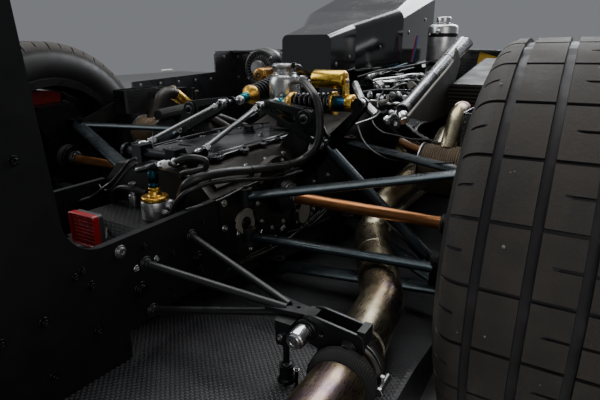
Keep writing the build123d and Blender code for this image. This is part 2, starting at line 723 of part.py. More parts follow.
with BuildPart() as damper_right:
    inner, outer = DAMPER_RIGHT
    damper_body(inner, outer)
    eye(inner, (0, 1, 0), ROD_END_R, 20)
    eye(outer, (0, 1, 0), ROD_END_R, 20)
    eye_hole(inner, (0, 1, 0))
    eye_hole(outer, (0, 1, 0))
    bar((176, DAMPER_AHEAD, 616), (266, DAMPER_AHEAD, 616), RESERVOIR_R)
    with BuildSketch(side_plane(262)) as strap:
        with Locations((DAMPER_AHEAD, 588)):
            Rectangle(28, 56)
    extrude(strap.sketch, amount=8)
finish("damper_right", damper_right)

with BuildPart() as damper_left:
    inner, outer = DAMPER_LEFT
    damper_body(inner, outer)
    bar(between(inner, outer, -12), between(inner, outer, 20), ROD_END_R)
    eye(outer, (1, 0, 0), ROD_END_R, DAMPER_POST_GAP - 2)
    eye_hole(outer, (1, 0, 0))
    eye_hole((inner[0], inner[1] - 8, inner[2]), (0, 1, 0), PIN_R + RUN, 52)
    bar(RESERVOIR_LEFT[0], RESERVOIR_LEFT[1], RESERVOIR_R)
    bar((-100, 366, 606), (-54, 366, 586), 8)
finish("damper_left", damper_left)

with BuildPart() as damper_springs:
    for inner, outer in (DAMPER_RIGHT, DAMPER_LEFT):
        first = spot(*inner)
        run = spot(*outer) - first
        bar(between(inner, outer, SPRING_FROM), between(inner, outer, SPRING_TO), SPRING_R)
        bar(
            between(inner, outer, SPRING_FROM - 1),
            between(inner, outer, SPRING_TO + 1),
            17 + SEAT,
            Mode.SUBTRACT,
        )
finish("damper_springs", damper_springs)

# Bracket that holds the outer end of the right damper
with BuildPart() as damper_bracket:
    for rear in (DAMPER_AHEAD - 20, DAMPER_AHEAD + 12):
        with BuildSketch(cross_plane(rear + 8)) as plate:
            with BuildLine():
                Polyline(
                    (CASE_HALF, 350),
                    (318, 546),
                    (318, 566),
                    (294, 566),
                    (294, 540),
                    (CASE_HALF, 408),
                    close=True,
                )
            make_face()
            with Locations((306, 560)):
                Circle(ROD_END_R + 1)
        extrude(plate.sketch, amount=8)
    bar((306, DAMPER_AHEAD - 24, 560), (306, DAMPER_AHEAD + 24, 560), PIN_R)
    with BuildSketch(level_plane(370)) as web:
        with Locations((CASE_HALF + 5, DAMPER_AHEAD)):
            Rectangle(10, 40)
    extrude(web.sketch, amount=30)
finish("damper_bracket", damper_bracket)

# Anti-roll bar across the rear of the case, with its links to the rockers
ROLL_AHEAD = -200.0
ROLL_HEIGHT = 470.0
ROLL_R = 12.0
LINK_X = 85.0
LINK_REAR = (LINK_X, -165.0, 478.0)
ROLL_ARM = 8.0
with BuildPart() as roll_bar:
    arm_x = LINK_X + 7 + RUN
    bar((-arm_x - ROLL_ARM, ROLL_AHEAD, ROLL_HEIGHT), (arm_x + ROLL_ARM, ROLL_AHEAD, ROLL_HEIGHT), ROLL_R)
    for side in (1, -1):
        low_x = arm_x if side > 0 else -arm_x - ROLL_ARM
        with BuildSketch(side_plane(low_x)) as arm:
            with Locations((ROLL_AHEAD, ROLL_HEIGHT)):
                Circle(ROLL_R + 6)
            with Locations((LINK_REAR[1], LINK_REAR[2])):
                Circle(11)
            with Locations(((ROLL_AHEAD + LINK_REAR[1]) / 2, (ROLL_HEIGHT + LINK_REAR[2]) / 2)):
                Rectangle(LINK_REAR[1] - ROLL_AHEAD, 22)
        extrude(arm.sketch, amount=ROLL_ARM)
        bar(
            (side * (LINK_X - 12), LINK_REAR[1], LINK_REAR[2]),
            (side * (arm_x + ROLL_ARM), LINK_REAR[1], LINK_REAR[2]),
            PIN_R - 1,
        )
finish("roll_bar", roll_bar)

with BuildPart() as roll_bar_bearings:
    for side in (1, -1):
        with BuildSketch(side_plane(side * 50 - 14)) as block:
            with BuildLine():
                Polyline(
                    (ROLL_AHEAD - 16, CASE_TOP - 2),
                    (ROLL_AHEAD - 16, ROLL_HEIGHT + 20),
                    (ROLL_AHEAD + 16, ROLL_HEIGHT + 20),
                    (ROLL_AHEAD + 30, CASE_TOP - 2),
                    close=True,
                )
            make_face()
            with Locations((ROLL_AHEAD, ROLL_HEIGHT)):
                Circle(ROLL_R + RUN, mode=Mode.SUBTRACT)
        extrude(block.sketch, amount=28)
finish("roll_bar_bearings", roll_bar_bearings)

LINK_ROD_R = 6.5
with BuildPart() as roll_link:
    high = (ROCKER_TIP[0], LINK_AHEAD, ROCKER_TIP[2])
    bar(LINK_REAR, high, 5.5)
    bar(between(LINK_REAR, high, 30), between(high, LINK_REAR, 30), LINK_ROD_R)
    eye(high, (0, 1, 0), 11, 14)
    eye_hole(high, (0, 1, 0))
    eye(LINK_REAR, (1, 0, 0), 11, 14)
    eye_hole(LINK_REAR, (1, 0, 0), PIN_R - 1 + RUN, 40)
finish_both("roll_links", roll_link)

# Crash structure behind the gearbox, between two side plates
CRASH_HALF = 110.0
CRASH_TOP = 357.0
CRASH_SHELF = 322.0
CRASH_STEP = -330.0
CRASH_END = -660.0
with BuildPart() as crash_box:
    with BuildSketch(side_plane(-CRASH_HALF)):
        with BuildLine():
            Polyline(
                (CASE_REAR, 226),
                (CASE_REAR, CRASH_TOP),
                (CRASH_STEP, CRASH_TOP),
                (CRASH_STEP - 22, CRASH_SHELF),
                (CRASH_STEP - 40, CRASH_SHELF),
                (CRASH_STEP - 40, 232),
                close=True,
            )
        make_face()
    extrude(amount=2 * CRASH_HALF)
    with BuildSketch(cross_plane(CRASH_STEP - 40)):
        with Locations((0, (232 + CRASH_SHELF) / 2)):
            RectangleRounded(2 * CRASH_HALF - 6, CRASH_SHELF - 232, 14)
    with BuildSketch(cross_plane(CRASH_END)):
        with Locations((0, (256 + CRASH_SHELF) / 2)):
            RectangleRounded(130, CRASH_SHELF - 256, 14)
    loft(ruled=True)
finish("crash_box", crash_box)

PLATE = 6.0
PLATE_FRONT = -150.0
PLATE_REAR = -525.0
PLATE_TOP = 402.0
PLATE_CORNER = -222.0  # where the top edge of plates and pylons ends
PLATE_LOW = 238.0
with BuildPart() as crash_plate:
    with BuildSketch(side_plane(CASE_HALF)):
        with BuildLine():
            Polyline(
                (PLATE_FRONT, PLATE_LOW),
                (PLATE_FRONT, 330),
                (PLATE_CORNER, PLATE_TOP),
                (PLATE_REAR, PLATE_TOP),
                (PLATE_REAR, PLATE_LOW),
                close=True,
            )
        make_face()
    extrude(amount=PLATE)
    for ahead, height in ((-285, 300), (-430, 300)):
        with BuildSketch(side_plane(CRASH_HALF)) as spacer:
            with Locations((ahead, height)):
                Circle(16)
        extrude(spacer.sketch, amount=CASE_HALF - CRASH_HALF + 1)
finish_both("crash_plates", crash_plate)

# Rain lamp on the shelf of the crash structure
LAMP_WIDTH = 100.0
LAMP_HEIGHT = 80.0
LAMP_BASE = 326.0
LAMP_REAR = -412.0
LAMP_DEPTH = 24.0
with BuildPart() as rain_lamp:
    with BuildSketch(cross_plane(LAMP_REAR + LAMP_DEPTH)):
        with Locations((0, LAMP_BASE + LAMP_HEIGHT / 2)):
            RectangleRounded(LAMP_WIDTH, LAMP_HEIGHT, 10)
    extrude(amount=LAMP_DEPTH)
    with BuildSketch(cross_plane(LAMP_REAR + 5)):
        with Locations((0, LAMP_BASE + LAMP_HEIGHT / 2)):
            RectangleRounded(LAMP_WIDTH - 20, LAMP_HEIGHT - 20, 6)
    extrude(amount=6, mode=Mode.SUBTRACT)
    with BuildSketch(level_plane(CRASH_SHELF)):
        with Locations((0, LAMP_REAR + LAMP_DEPTH / 2)):
            Rectangle(60, LAMP_DEPTH)
    extrude(amount=LAMP_BASE - CRASH_SHELF + 2)
finish("rain_lamp", rain_lamp)

# Rear wing: two sections, end plates and the two pylons
WING_HALF = 900.0
END_PLATE = 8.0
END_PLATE_OUTLINE = (  # ahead, height
    (-425.0, 860.0),
    (-425.0, 985.0),
    (-500.0, 1062.0),
    (-850.0, 1066.0),
    (-850.0, 800.0),
    (-620.0, 800.0),
)
MAIN_NOSE = (-448.0, 936.0)
MAIN_TAIL = (-742.0, 962.0)
FLAP_NOSE = (-726.0, 978.0)
FLAP_TAIL = (-826.0, 1046.0)


def aerofoil(nose, tail, belly, back):
    """A wing section from two arcs and a blunt tail; belly and back are their sags."""
    nose_point = Vector(*nose)
    tail_point = Vector(*tail)
    run = tail_point - nose_point
    up = Vector(run.Y, -run.X).normalized()
    middle = nose_point + run * 0.42
    tail_top = tail_point + up * 4
    nose_top = nose_point + up * 10
    ThreePointArc(nose_point, middle - up * belly, tail_point)
    Line(tail_point, tail_top)
    ThreePointArc(tail_top, middle - up * back, nose_top)
    Line(nose_top, nose_point)


with BuildPart() as wing_main:
    with BuildSketch(side_plane(-WING_HALF)):
        with BuildLine():
            aerofoil(MAIN_NOSE, MAIN_TAIL, 44, 8)
        make_face()
    extrude(amount=2 * WING_HALF)
finish("wing_main", wing_main)

with BuildPart() as wing_flap:
    with BuildSketch(side_plane(-WING_HALF)):
        with BuildLine():
            aerofoil(FLAP_NOSE, FLAP_TAIL, 14, 2)
        make_face()
    extrude(amount=2 * WING_HALF)
finish("wing_flap", wing_flap)

with BuildPart() as wing_end_plate:
    with BuildSketch(side_plane(WING_HALF)):
        with BuildLine():
            Polyline(*END_PLATE_OUTLINE, close=True)
        make_face()
        fillet(vertices(), 16)
    extrude(amount=END_PLATE)
finish_both("wing_end_plates", wing_end_plate)

PYLON_X = CASE_HALF + PLATE
PYLON = 8.0
PYLON_FRONT = -462.0
PYLON_REAR = -700.0
PYLON_CORNER = (-548.0, PLATE_TOP)
PYLON_BEND = 62.0
with BuildPart() as wing_pylon:
    with BuildSketch(side_plane(PYLON_X)):
        with BuildLine():
            Polyline(
                (PYLON_FRONT, floor_height(PYLON_FRONT) + RUN),
                (PYLON_FRONT, PLATE_LOW),
                (PLATE_CORNER, PLATE_LOW),
                (PLATE_CORNER, PLATE_TOP),
                PYLON_CORNER,
                (-568, 747),
                (-594, 920),
                (-726, 920),
                (-722, 600),
                (PYLON_REAR, floor_height(PYLON_REAR) + RUN),
                close=True,
            )
        make_face()
        corner = vertices().sort_by_distance(PYLON_CORNER)[0]
        fillet(corner, PYLON_BEND)
    extrude(amount=PYLON)
    with BuildSketch(side_plane(PYLON_X - 1)):
        with BuildLine():
            aerofoil(
                (MAIN_NOSE[0], MAIN_NOSE[1] - SEAT),
                (MAIN_TAIL[0], MAIN_TAIL[1] - SEAT),
                44,
                -60,
            )
        make_face()
    extrude(amount=PYLON + 2, mode=Mode.SUBTRACT)
finish_both("wing_pylons", wing_pylon)

# Diffuser floor: wide ahead of the tyres, a rising tunnel between them, with fences and side walls
FENCE = 6.0
FENCE_X = (240.0, 430.0)
WALL_FRONT = 150.0
WALL_PROUD = 22.0
WALL_DROP = 84.0
FLOOR_WIDE_REAR = 430.0
FLOOR_FRONT_HEIGHT = FLOOR_LINE[0][1]


def floor_band(below, above):
    """Closed outline between two lines that run below and above the floor's upper skin."""
    top = [(ahead, height + above) for ahead, height in FLOOR_LINE]
    bottom = [(ahead, height - below) for ahead, height in reversed(FLOOR_LINE)]
    Polyline(*top, *bottom, close=True)


with BuildPart() as diffuser_floor:
    with BuildSketch(side_plane(-TUNNEL_HALF)):
        with BuildLine():
            floor_band(FLOOR_SKIN, 0)
        make_face()
    extrude(amount=2 * TUNNEL_HALF)
    with BuildSketch(level_plane(FLOOR_FRONT_HEIGHT - FLOOR_SKIN)):
        with Locations((0, (AXLE_TO_FACE + FLOOR_WIDE_REAR) / 2)):
            Rectangle(2 * FLOOR_HALF, AXLE_TO_FACE - FLOOR_WIDE_REAR)
    extrude(amount=FLOOR_SKIN)
    walls = [(side * (TUNNEL_HALF - FLOOR_SKIN / 2), FLOOR_SKIN, WALL_PROUD) for side in (1, -1)]
    fences = [(side * x, FENCE, -1.0) for side in (1, -1) for x in FENCE_X]
    for wall_x, thick, proud in walls + fences:
        with BuildSketch(side_plane(wall_x - thick / 2)):
            with BuildLine():
                Polyline(
                    (WALL_FRONT, floor_height(WALL_FRONT) + proud),
                    *[(ahead, height + proud) for ahead, height in FLOOR_LINE[1:]],
                    (FLOOR_LINE[-1][0], FLOOR_LINE[-1][1] - WALL_DROP),
                    (FLOOR_LINE[2][0], FLOOR_LINE[2][1] - WALL_DROP),
                    (WALL_FRONT, floor_height(WALL_FRONT) - FLOOR_SKIN),
                    close=True,
                )
            make_face()
        extrude(amount=thick)
finish("diffuser_floor", diffuser_floor)

# Side panels of the bodywork, standing on the wide floor ahead of the tyres
PANEL_X = 800.0
PANEL = 8.0
PANEL_STEP = 960.0
with BuildPart() as side_panel:
    with BuildSketch(side_plane(PANEL_X - PANEL)):
        with BuildLine():
            Polyline(
                (AXLE_TO_FACE, FLOOR_FRONT_HEIGHT),
                (AXLE_TO_FACE, 672),
                (PANEL_STEP, 668),
                (PANEL_STEP, 572),
                (FLOOR_WIDE_REAR + 10, 556),
                (FLOOR_WIDE_REAR + 10, FLOOR_FRONT_HEIGHT),
                close=True,
            )
        make_face()
        upper = vertices().group_by(Axis.Y)[-2:]
        fillet(upper[0] + upper[1], 12)
    extrude(amount=PANEL)
    with BuildSketch(level_plane(FLOOR_FRONT_HEIGHT)):
        with Locations((PANEL_X + 12, (AXLE_TO_FACE + FLOOR_WIDE_REAR + 10) / 2)):
            Rectangle(24, AXLE_TO_FACE - FLOOR_WIDE_REAR - 10)
    extrude(amount=PANEL)
finish_both("side_panels", side_panel)

# Exhausts: primaries from the head, turbocharger, downpipe and tail pipe under the rear arms
PIPE_R = 43.0
PIPE_WALL = 2.0
PRIMARY_R = 21.0
TURBO_R = 58.0
TURBO_AT = (500.0, 262.0, 400.0)
EXHAUST_ROUTE = (
    (462.0, 262.0, 392.0),
    (372.0, 258.0, 300.0),
    (362.0, 150.0, 231.0),
    (503.0, -140.0, 230.0),
    (533.0, -395.0, 229.0),
    (543.0, -650.0, 250.0),
)
EXHAUST_BENDS = (62.0, 60.0, 150.0, 180.0)
PORT = (BANK_SIDE * (BANK_WIDTH / 2)) + Vector(0, CRANK_HEIGHT) + BANK_RUN * (BANK_REACH - 60)
PRIMARY_ROUTES = (  # ahead of the port, then the bend's x, ahead and height
    (640.0, (508.0, 462.0, 470.0), (512.0, 340.0, 560.0), (508.0, 262.0, 450.0)),
    (800.0, (452.0, 560.0, 420.0), (470.0, 390.0, 470.0), (476.0, 280.0, 436.0)),
)
with BuildPart() as exhaust:
    pipe(EXHAUST_ROUTE, EXHAUST_BENDS, PIPE_R, 0)
    x, ahead, height = TURBO_AT
    bar((x - 46, ahead, height), (x + 46, ahead, height), TURBO_R)
    for port_ahead, first, second, last in PRIMARY_ROUTES:
        port = (PORT.X, port_ahead, PORT.Y)
        away = (PORT.X + 62, port_ahead, PORT.Y - 62)
        pipe((port, away, first, second, last), (40, 60, 60), PRIMARY_R, 0)
    tail = spot(*EXHAUST_ROUTE[-1])
    run = tail - spot(*EXHAUST_ROUTE[-2])
    with BuildSketch(Plane(origin=tail, z_dir=-run)) as mouth:
        Circle(PIPE_R - PIPE_WALL)
    extrude(mouth.sketch, amount=200, mode=Mode.SUBTRACT)
finish_pair("exhaust", exhaust)

# Stays that hold the tail pipes: three rods, a gusset, a hanger and a drop link to the floor
STAY_R = 7.0
STAY_TIP = (440.0, -350.0, 296.0)
STAY_X = PYLON_X + PYLON
STAY_FEET = (
    (STAY_X, -414.0, 343.0),
    (STAY_X, -300.0, 353.0),
    (STAY_X, -410.0, 250.0),
)
HANGER_AHEAD = -340.0
HANGER_THICK = 8.0
CLAMP_PROUD = 6.0
CLAMP_WIDTH = 26.0
DROP_FOOT = (STAY_TIP[0], -372.0)
with BuildPart() as exhaust_stay:
    for foot in STAY_FEET:
        bar(foot, STAY_TIP, STAY_R)
    with BuildSketch(side_plane(STAY_X - 60)) as trim:
        with Locations((-350, 300)):
            Rectangle(300, 300)
    extrude(trim.sketch, amount=60, mode=Mode.SUBTRACT)
    foot_height = floor_height(DROP_FOOT[1]) + 0.6
    bar(STAY_TIP, (*DROP_FOOT, foot_height + 22), STAY_R + 2)
    bar((*DROP_FOOT, foot_height), (*DROP_FOOT, foot_height + 26), STAY_R)
    with BuildSketch(cross_plane(HANGER_AHEAD)) as hanger:
        with BuildLine():
            Polyline((424, 290), (430, 312), (470, 306), (548, 292), (560, 262), (500, 250), close=True)
        make_face()
    extrude(hanger.sketch, amount=HANGER_THICK)
    before, after = EXHAUST_ROUTE[3:5]
    near = between(before, after, 196)
    far = between(before, after, 196 + CLAMP_WIDTH)
    bar(near, far, PIPE_R + CLAMP_PROUD)
    bar(between(before, after, 180), between(before, after, 240), PIPE_R + SEAT, Mode.SUBTRACT)
finish_both("exhaust_stays", exhaust_stay)

# Alternator behind the left bank, on a bracket bolted to the engine's rear face
ALTERNATOR_R = 64.0
ALTERNATOR_AT = (-170.0, 480.0, 624.0)
with BuildPart() as alternator:
    x, ahead, height = ALTERNATOR_AT
    bar((x, ahead - 52, height), (x, ahead + 52, height), ALTERNATOR_R)
    bar((x, ahead - 62, height), (x, ahead - 50, height), ALTERNATOR_R - 20)
    with BuildSketch(cross_plane(ENGINE_REAR)) as bracket:
        with Locations((x, height)):
            Circle(40)
        with Locations((x + 6, (height + BELL_TOP) / 2)):
            Rectangle(56, height - BELL_TOP - 1)
    extrude(bracket.sketch, amount=ENGINE_REAR - ahead - 50)
finish("alternator", alternator)

# Fluid pot on the gearbox cover, with its cap and the hose port
POT_AT = (45.0, 250.0)
POT_BASE = 548.0
POT_TOP = 628.0
POT_R = 45.0
PORT_R = 13.0
PORT_REACH = 54.0
PORT_HEIGHT = 606.0
COVER_TOP = CASE_TOP + COVER_THICK
with BuildPart() as fluid_pot:
    x, ahead = POT_AT
    bar((x, ahead, COVER_TOP), (x, ahead, COVER_TOP + 10), 38)
    bar((x, ahead, COVER_TOP + 8), (x, ahead, POT_BASE + 2), 26)
    bar((x, ahead, POT_BASE), (x, ahead, POT_TOP), POT_R)
    bar((x, ahead, POT_TOP), (x, ahead, POT_TOP + 12), POT_R - 9)
    bar((x, ahead, POT_TOP + 12), (x, ahead, POT_TOP + 22), POT_R - 17)
    bar((x, ahead, PORT_HEIGHT), (x + PORT_REACH, ahead, PORT_HEIGHT), PORT_R)
finish("fluid_pot", fluid_pot)

# Header tank beside the airbox, on a strut to the right cam cover
TANK_AT = (310.0, 900.0)
TANK_R = 52.0
TANK_LOW = 584.0
TANK_HIGH = 768.0
COVER_LEVEL = HEAD_TOP.X + HEAD_TOP.Y + CAM_COVER_HEIGHT / cos(radians(BANK_ANGLE))


def cover_foot(x, height):
    """Where a line square to the right cam cover through a point meets the cover."""
    lead = (x + height - COVER_LEVEL) / 2
    return (x - lead, height - lead)


with BuildPart() as header_tank:
    x, ahead = TANK_AT
    bar((x, ahead, TANK_LOW), (x, ahead, TANK_HIGH), TANK_R)
    bar((x, ahead, TANK_HIGH), (x, ahead, TANK_HIGH + 24), 26)
    foot_x, foot_height = cover_foot(x, TANK_LOW + 20)
    bar((foot_x, ahead, foot_height), (x, ahead, TANK_LOW + 20), 13)
finish("header_tank", header_tank)

# Support tube of the engine cover, cut off at a slant, on two struts to the right cam cover
SUPPORT_R = 27.0
SUPPORT_WALL = 2.0
SUPPORT_LOW = (363.0, 330.0, 526.0)
SUPPORT_HIGH = (415.0, 800.0, 712.0)
SUPPORT_STRUTS = (620.0, 730.0)
SUPPORT_SLANT = ((774.0, 760.0), (860.0, 760.0), (860.0, 650.0))  # cut away above the open end
with BuildPart() as support_tube:
    bar(SUPPORT_LOW, SUPPORT_HIGH, SUPPORT_R)
    run = Vector(*SUPPORT_HIGH) - Vector(*SUPPORT_LOW)
    for ahead in SUPPORT_STRUTS:
        share = (ahead - SUPPORT_LOW[1]) / run.Y
        point = Vector(*SUPPORT_LOW) + run * share
        foot_x, foot_height = cover_foot(point.X, point.Z)
        bar((foot_x, ahead, foot_height), (point.X, ahead, point.Z), 8)
    beyond = between(SUPPORT_HIGH, SUPPORT_LOW, -1)
    bar(beyond, between(SUPPORT_HIGH, SUPPORT_LOW, 160), SUPPORT_R - SUPPORT_WALL, Mode.SUBTRACT)
    with BuildSketch(side_plane(SUPPORT_HIGH[0] - 60)) as slant:
        with BuildLine():
            Polyline(*SUPPORT_SLANT, close=True)
        make_face()
    extrude(slant.sketch, amount=120, mode=Mode.SUBTRACT)
finish("support_tube", support_tube)

# Catch canister on the crash structure, with its cap and hose tee
CANISTER_AT = (50.0, -267.0)
CANISTER_R = 29.5
CANISTER_TOP = CRASH_TOP + 40.0
CAP_TALL = 8.0
NECK_R = 11.0
TEE_R = 7.5
TEE_LEFT = (-46.0, 55.0)  # sideways from the canister, height over it
TEE_RIGHT = (58.0, 83.0)


def canister_side(turn, height, out=RUN):
    """A point out from the canister's side, at a turn from straight to the right."""
    reach = CANISTER_R + out
    x, ahead = CANISTER_AT
    return (x + reach * cos(radians(turn)), ahead + reach * sin(radians(turn)), height)


with BuildPart() as catch_canister:
    x, ahead = CANISTER_AT
    bar((x, ahead, CRASH_TOP), (x, ahead, CANISTER_TOP), CANISTER_R)
    bar((x, ahead, CANISTER_TOP), (x, ahead, CANISTER_TOP + CAP_TALL), CANISTER_R - 2)
    bar((x, ahead, CANISTER_TOP + CAP_TALL), (x, ahead, CANISTER_TOP + 22), NECK_R + 2)
    bar((x, ahead, CANISTER_TOP + 20), (x, ahead, CANISTER_TOP + 68), NECK_R)
    left, right = ((x + side, ahead, CANISTER_TOP + height) for side, height in (TEE_LEFT, TEE_RIGHT))
    bar(left, right, TEE_R)
finish("catch_canister", catch_canister)

# Coolant hoses along the right side of the gearbox
HOSE_R = 9.5
SMALL_HOSE_R = 4.5
HOSE_ROUTE = (
    canister_side(20, 387.0),
    canister_side(20, 387.0, 24.0),
    (158.0, -246.0, 429.0),
    (180.0, -198.0, 444.0),
    (190.0, -60.0, 452.0),
    (194.0, 50.0, 446.0),
    (248.0, 82.0, 466.0),
    (246.0, 96.0, 560.0),
    (166.0, 140.0, 604.0),
    (134.0, POT_AT[1], PORT_HEIGHT),
    (POT_AT[0] + PORT_REACH + RUN, POT_AT[1], PORT_HEIGHT),
)
HOSE_BENDS = (20.0, 30.0, 50.0, 120.0, 60.0, 26.0, 60.0, 50.0, 20.0)
SMALL_HOSE_ROUTE = (
    canister_side(-8, 374.0),
    canister_side(-8, 374.0, 18.0),
    (140.0, -262.0, 404.0),
    (186.0, -212.0, 418.0),
    (186.0, -60.0, 426.0),
    (188.0, 62.0, 424.0),
    (186.0, 104.0, 388.0),
    (CASE_HALF + RUN, 104.0, 388.0),
)
SMALL_HOSE_BENDS = (12.0, 30.0, 60.0, 90.0, 30.0, 12.0)
BREATHER_R = 5.0
BREATHER_ROUTE = (  # from the tee round to the rear face of the case
    (CANISTER_AT[0] + TEE_RIGHT[0] + 1.0, CANISTER_AT[1], CANISTER_TOP + TEE_RIGHT[1] + 0.3),
    (142.0, -262.0, 492.0),
    (164.0, -234.0, 484.0),
    (150.0, -240.0, 452.0),
    (100.0, -246.0, 442.0),
    (100.0, CASE_REAR - RUN, 442.0),
)
BREATHER_BENDS = (16.0, 14.0, 14.0, 10.0)
with BuildPart() as hoses:
    pipe(HOSE_ROUTE, HOSE_BENDS, HOSE_R, 0)
    pipe(SMALL_HOSE_ROUTE, SMALL_HOSE_BENDS, SMALL_HOSE_R, 0)
    pipe(BREATHER_ROUTE, BREATHER_BENDS, BREATHER_R, 0)
finish("hoses", hoses)

# Air duct beside the engine on the right, on a post from the floor
DUCT_SECTIONS = (  # ahead, inner x, outer x, bottom, top
    (500.0, 440.0, 600.0, 498.0, 592.0),
    (940.0, 448.0, 636.0, 452.0, 652.0),
)
DUCT_CORNER = 16.0
DUCT_POST = (560.0, 880.0)
with BuildPart() as air_duct:
    for ahead, inner_x, outer_x, low, high in DUCT_SECTIONS:
        with BuildSketch(cross_plane(ahead)):
            with Locations(((inner_x + outer_x) / 2, (low + high) / 2)):
                RectangleRounded(outer_x - inner_x, high - low, DUCT_CORNER)
    loft(ruled=True)
    with BuildSketch(level_plane(FLOOR_FRONT_HEIGHT)):
        with Locations(DUCT_POST):
            Rectangle(70, 60)
    extrude(amount=DUCT_SECTIONS[1][3] - FLOOR_FRONT_HEIGHT + 30)
finish("air_duct", air_duct)

# Brake scoops: open boxes ahead of the uprights, each on a bracket bolted to its upright
SCOOP_X = (548.0, 621.0)
SCOOP_AHEAD = (195.0, 345.0)
SCOOP_HEIGHT = (474.0, 552.0)
SCOOP_WALL = 3.0
SCOOP_BRACKET = 8.0
with BuildPart() as brake_scoop:
    wide = SCOOP_X[1] - SCOOP_X[0]
    long = SCOOP_AHEAD[1] - SCOOP_AHEAD[0]
    tall = SCOOP_HEIGHT[1] - SCOOP_HEIGHT[0]
    for height, trim, mode in ((0, 0, Mode.ADD), (SCOOP_WALL, SCOOP_WALL, Mode.SUBTRACT)):
        with BuildSketch(level_plane(SCOOP_HEIGHT[0] + height)) as section:
            with Locations(((SCOOP_X[0] + SCOOP_X[1]) / 2, (SCOOP_AHEAD[0] + SCOOP_AHEAD[1]) / 2)):
                RectangleRounded(wide - 2 * trim, long - 2 * trim, 14 - trim)
        extrude(section.sketch, amount=tall, mode=mode)
    with BuildSketch(side_plane(UPRIGHT_X - RUN - SCOOP_BRACKET)) as bracket:
        with BuildLine():
            Polyline(
                (61, 404),
                (61, 464),
                (SCOOP_AHEAD[0] + 20, SCOOP_HEIGHT[0] + 40),
                (SCOOP_AHEAD[0] + 60, SCOOP_HEIGHT[0] + 40),
                (SCOOP_AHEAD[0] + 60, SCOOP_HEIGHT[0]),
                (86, 404),
                close=True,
            )
        make_face()
    extrude(bracket.sketch, amount=SCOOP_BRACKET)
finish_both("brake_scoops", brake_scoop)

# Bulkheads: plates across the car between the side panels and the engine
BULKHEAD_AHEAD = 1112.0
BULKHEAD = 8.0
BULKHEAD_LIP = 26.0
BULKHEAD_OUTLINE = (  # x, height
    (PANEL_X - PANEL - RUN, FLOOR_FRONT_HEIGHT),
    (PANEL_X - PANEL - RUN, 670.0),
    (240.0, 684.0),
    (240.0, 580.0),
    (350.0, 470.0),
    (350.0, FLOOR_FRONT_HEIGHT),
)
with BuildPart() as bulkhead:
    with BuildSketch(cross_plane(BULKHEAD_AHEAD + BULKHEAD)):
        with BuildLine():
            Polyline(*BULKHEAD_OUTLINE, close=True)
        make_face()
    extrude(amount=BULKHEAD)
    with BuildSketch(cross_plane(BULKHEAD_AHEAD + 1)) as lip:
        with BuildLine():
            upper_outer, upper_inner = BULKHEAD_OUTLINE[1:3]
            Polyline(
                upper_outer,
                upper_inner,
                (upper_inner[0], upper_inner[1] - BULKHEAD),
                (upper_outer[0], upper_outer[1] - BULKHEAD),
                close=True,
            )
        make_face()
    extrude(lip.sketch, amount=BULKHEAD_LIP)
finish_both("bulkheads", bulkhead)
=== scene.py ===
"""Looks of a race car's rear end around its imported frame: finishes for the solids, and the finer pieces."""

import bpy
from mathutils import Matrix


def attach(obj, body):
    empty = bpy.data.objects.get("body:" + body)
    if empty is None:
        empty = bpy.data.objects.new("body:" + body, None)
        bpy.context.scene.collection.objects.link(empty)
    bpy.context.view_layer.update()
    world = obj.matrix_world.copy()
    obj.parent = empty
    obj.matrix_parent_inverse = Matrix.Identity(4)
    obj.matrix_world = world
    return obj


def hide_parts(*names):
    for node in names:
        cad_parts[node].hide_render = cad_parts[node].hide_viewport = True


bl_info = {
    "name": "Race car rear end",
    "version": (1, 0, 0),
    "blender": (4, 5, 0),
    "location": "View3D > Sidebar > Rear End",
    "description": "Dresses the rear end of a race car: finishes, tyres, dampers, fasteners and lines",
    "category": "Object",
}

import math
import random

import bmesh
import bpy
from mathutils import Vector
from mathutils.geometry import convex_hull_2d, tessellate_polygon

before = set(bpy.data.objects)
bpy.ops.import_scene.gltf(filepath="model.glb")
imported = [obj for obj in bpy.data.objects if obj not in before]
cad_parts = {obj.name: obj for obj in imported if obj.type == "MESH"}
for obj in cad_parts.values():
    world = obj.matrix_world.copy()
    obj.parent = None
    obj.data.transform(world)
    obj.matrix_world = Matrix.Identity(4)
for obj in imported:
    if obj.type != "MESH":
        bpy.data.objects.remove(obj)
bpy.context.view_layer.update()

AXLE_TO_FACE = 1150.0
FACE_HEIGHT = 330.0
ROOT = "rear_end"
SIDES = (("right", 1), ("left", -1))

# Directions on the car's right side, which a mirrored piece turns round
OUT = (1, 0, 0)
INWARD = (-1, 0, 0)
AHEAD = (0, 1, 0)
BACK = (0, -1, 0)
UP = (0, 0, 1)
DOWN = (0, 0, -1)
OUT_AND_UP = (0.7071, 0, 0.7071)


def spot(x, ahead, height):
    """A point of the car, in millimetres from the middle, the rear axle and the road, in the row's frame."""
    return Vector((x, ahead - AXLE_TO_FACE, height - FACE_HEIGHT)) / 1000


def colour_prop(name, description, default):
    """A colour that the user can change."""
    return bpy.props.FloatVectorProperty(
        name=name, description=description, subtype="COLOR", size=3, min=0, max=1, default=default
    )


def length_prop(name, description, default):
    """A length in metres that the user can change."""
    return bpy.props.FloatProperty(name=name, description=description, default=default, min=0, unit="LENGTH")


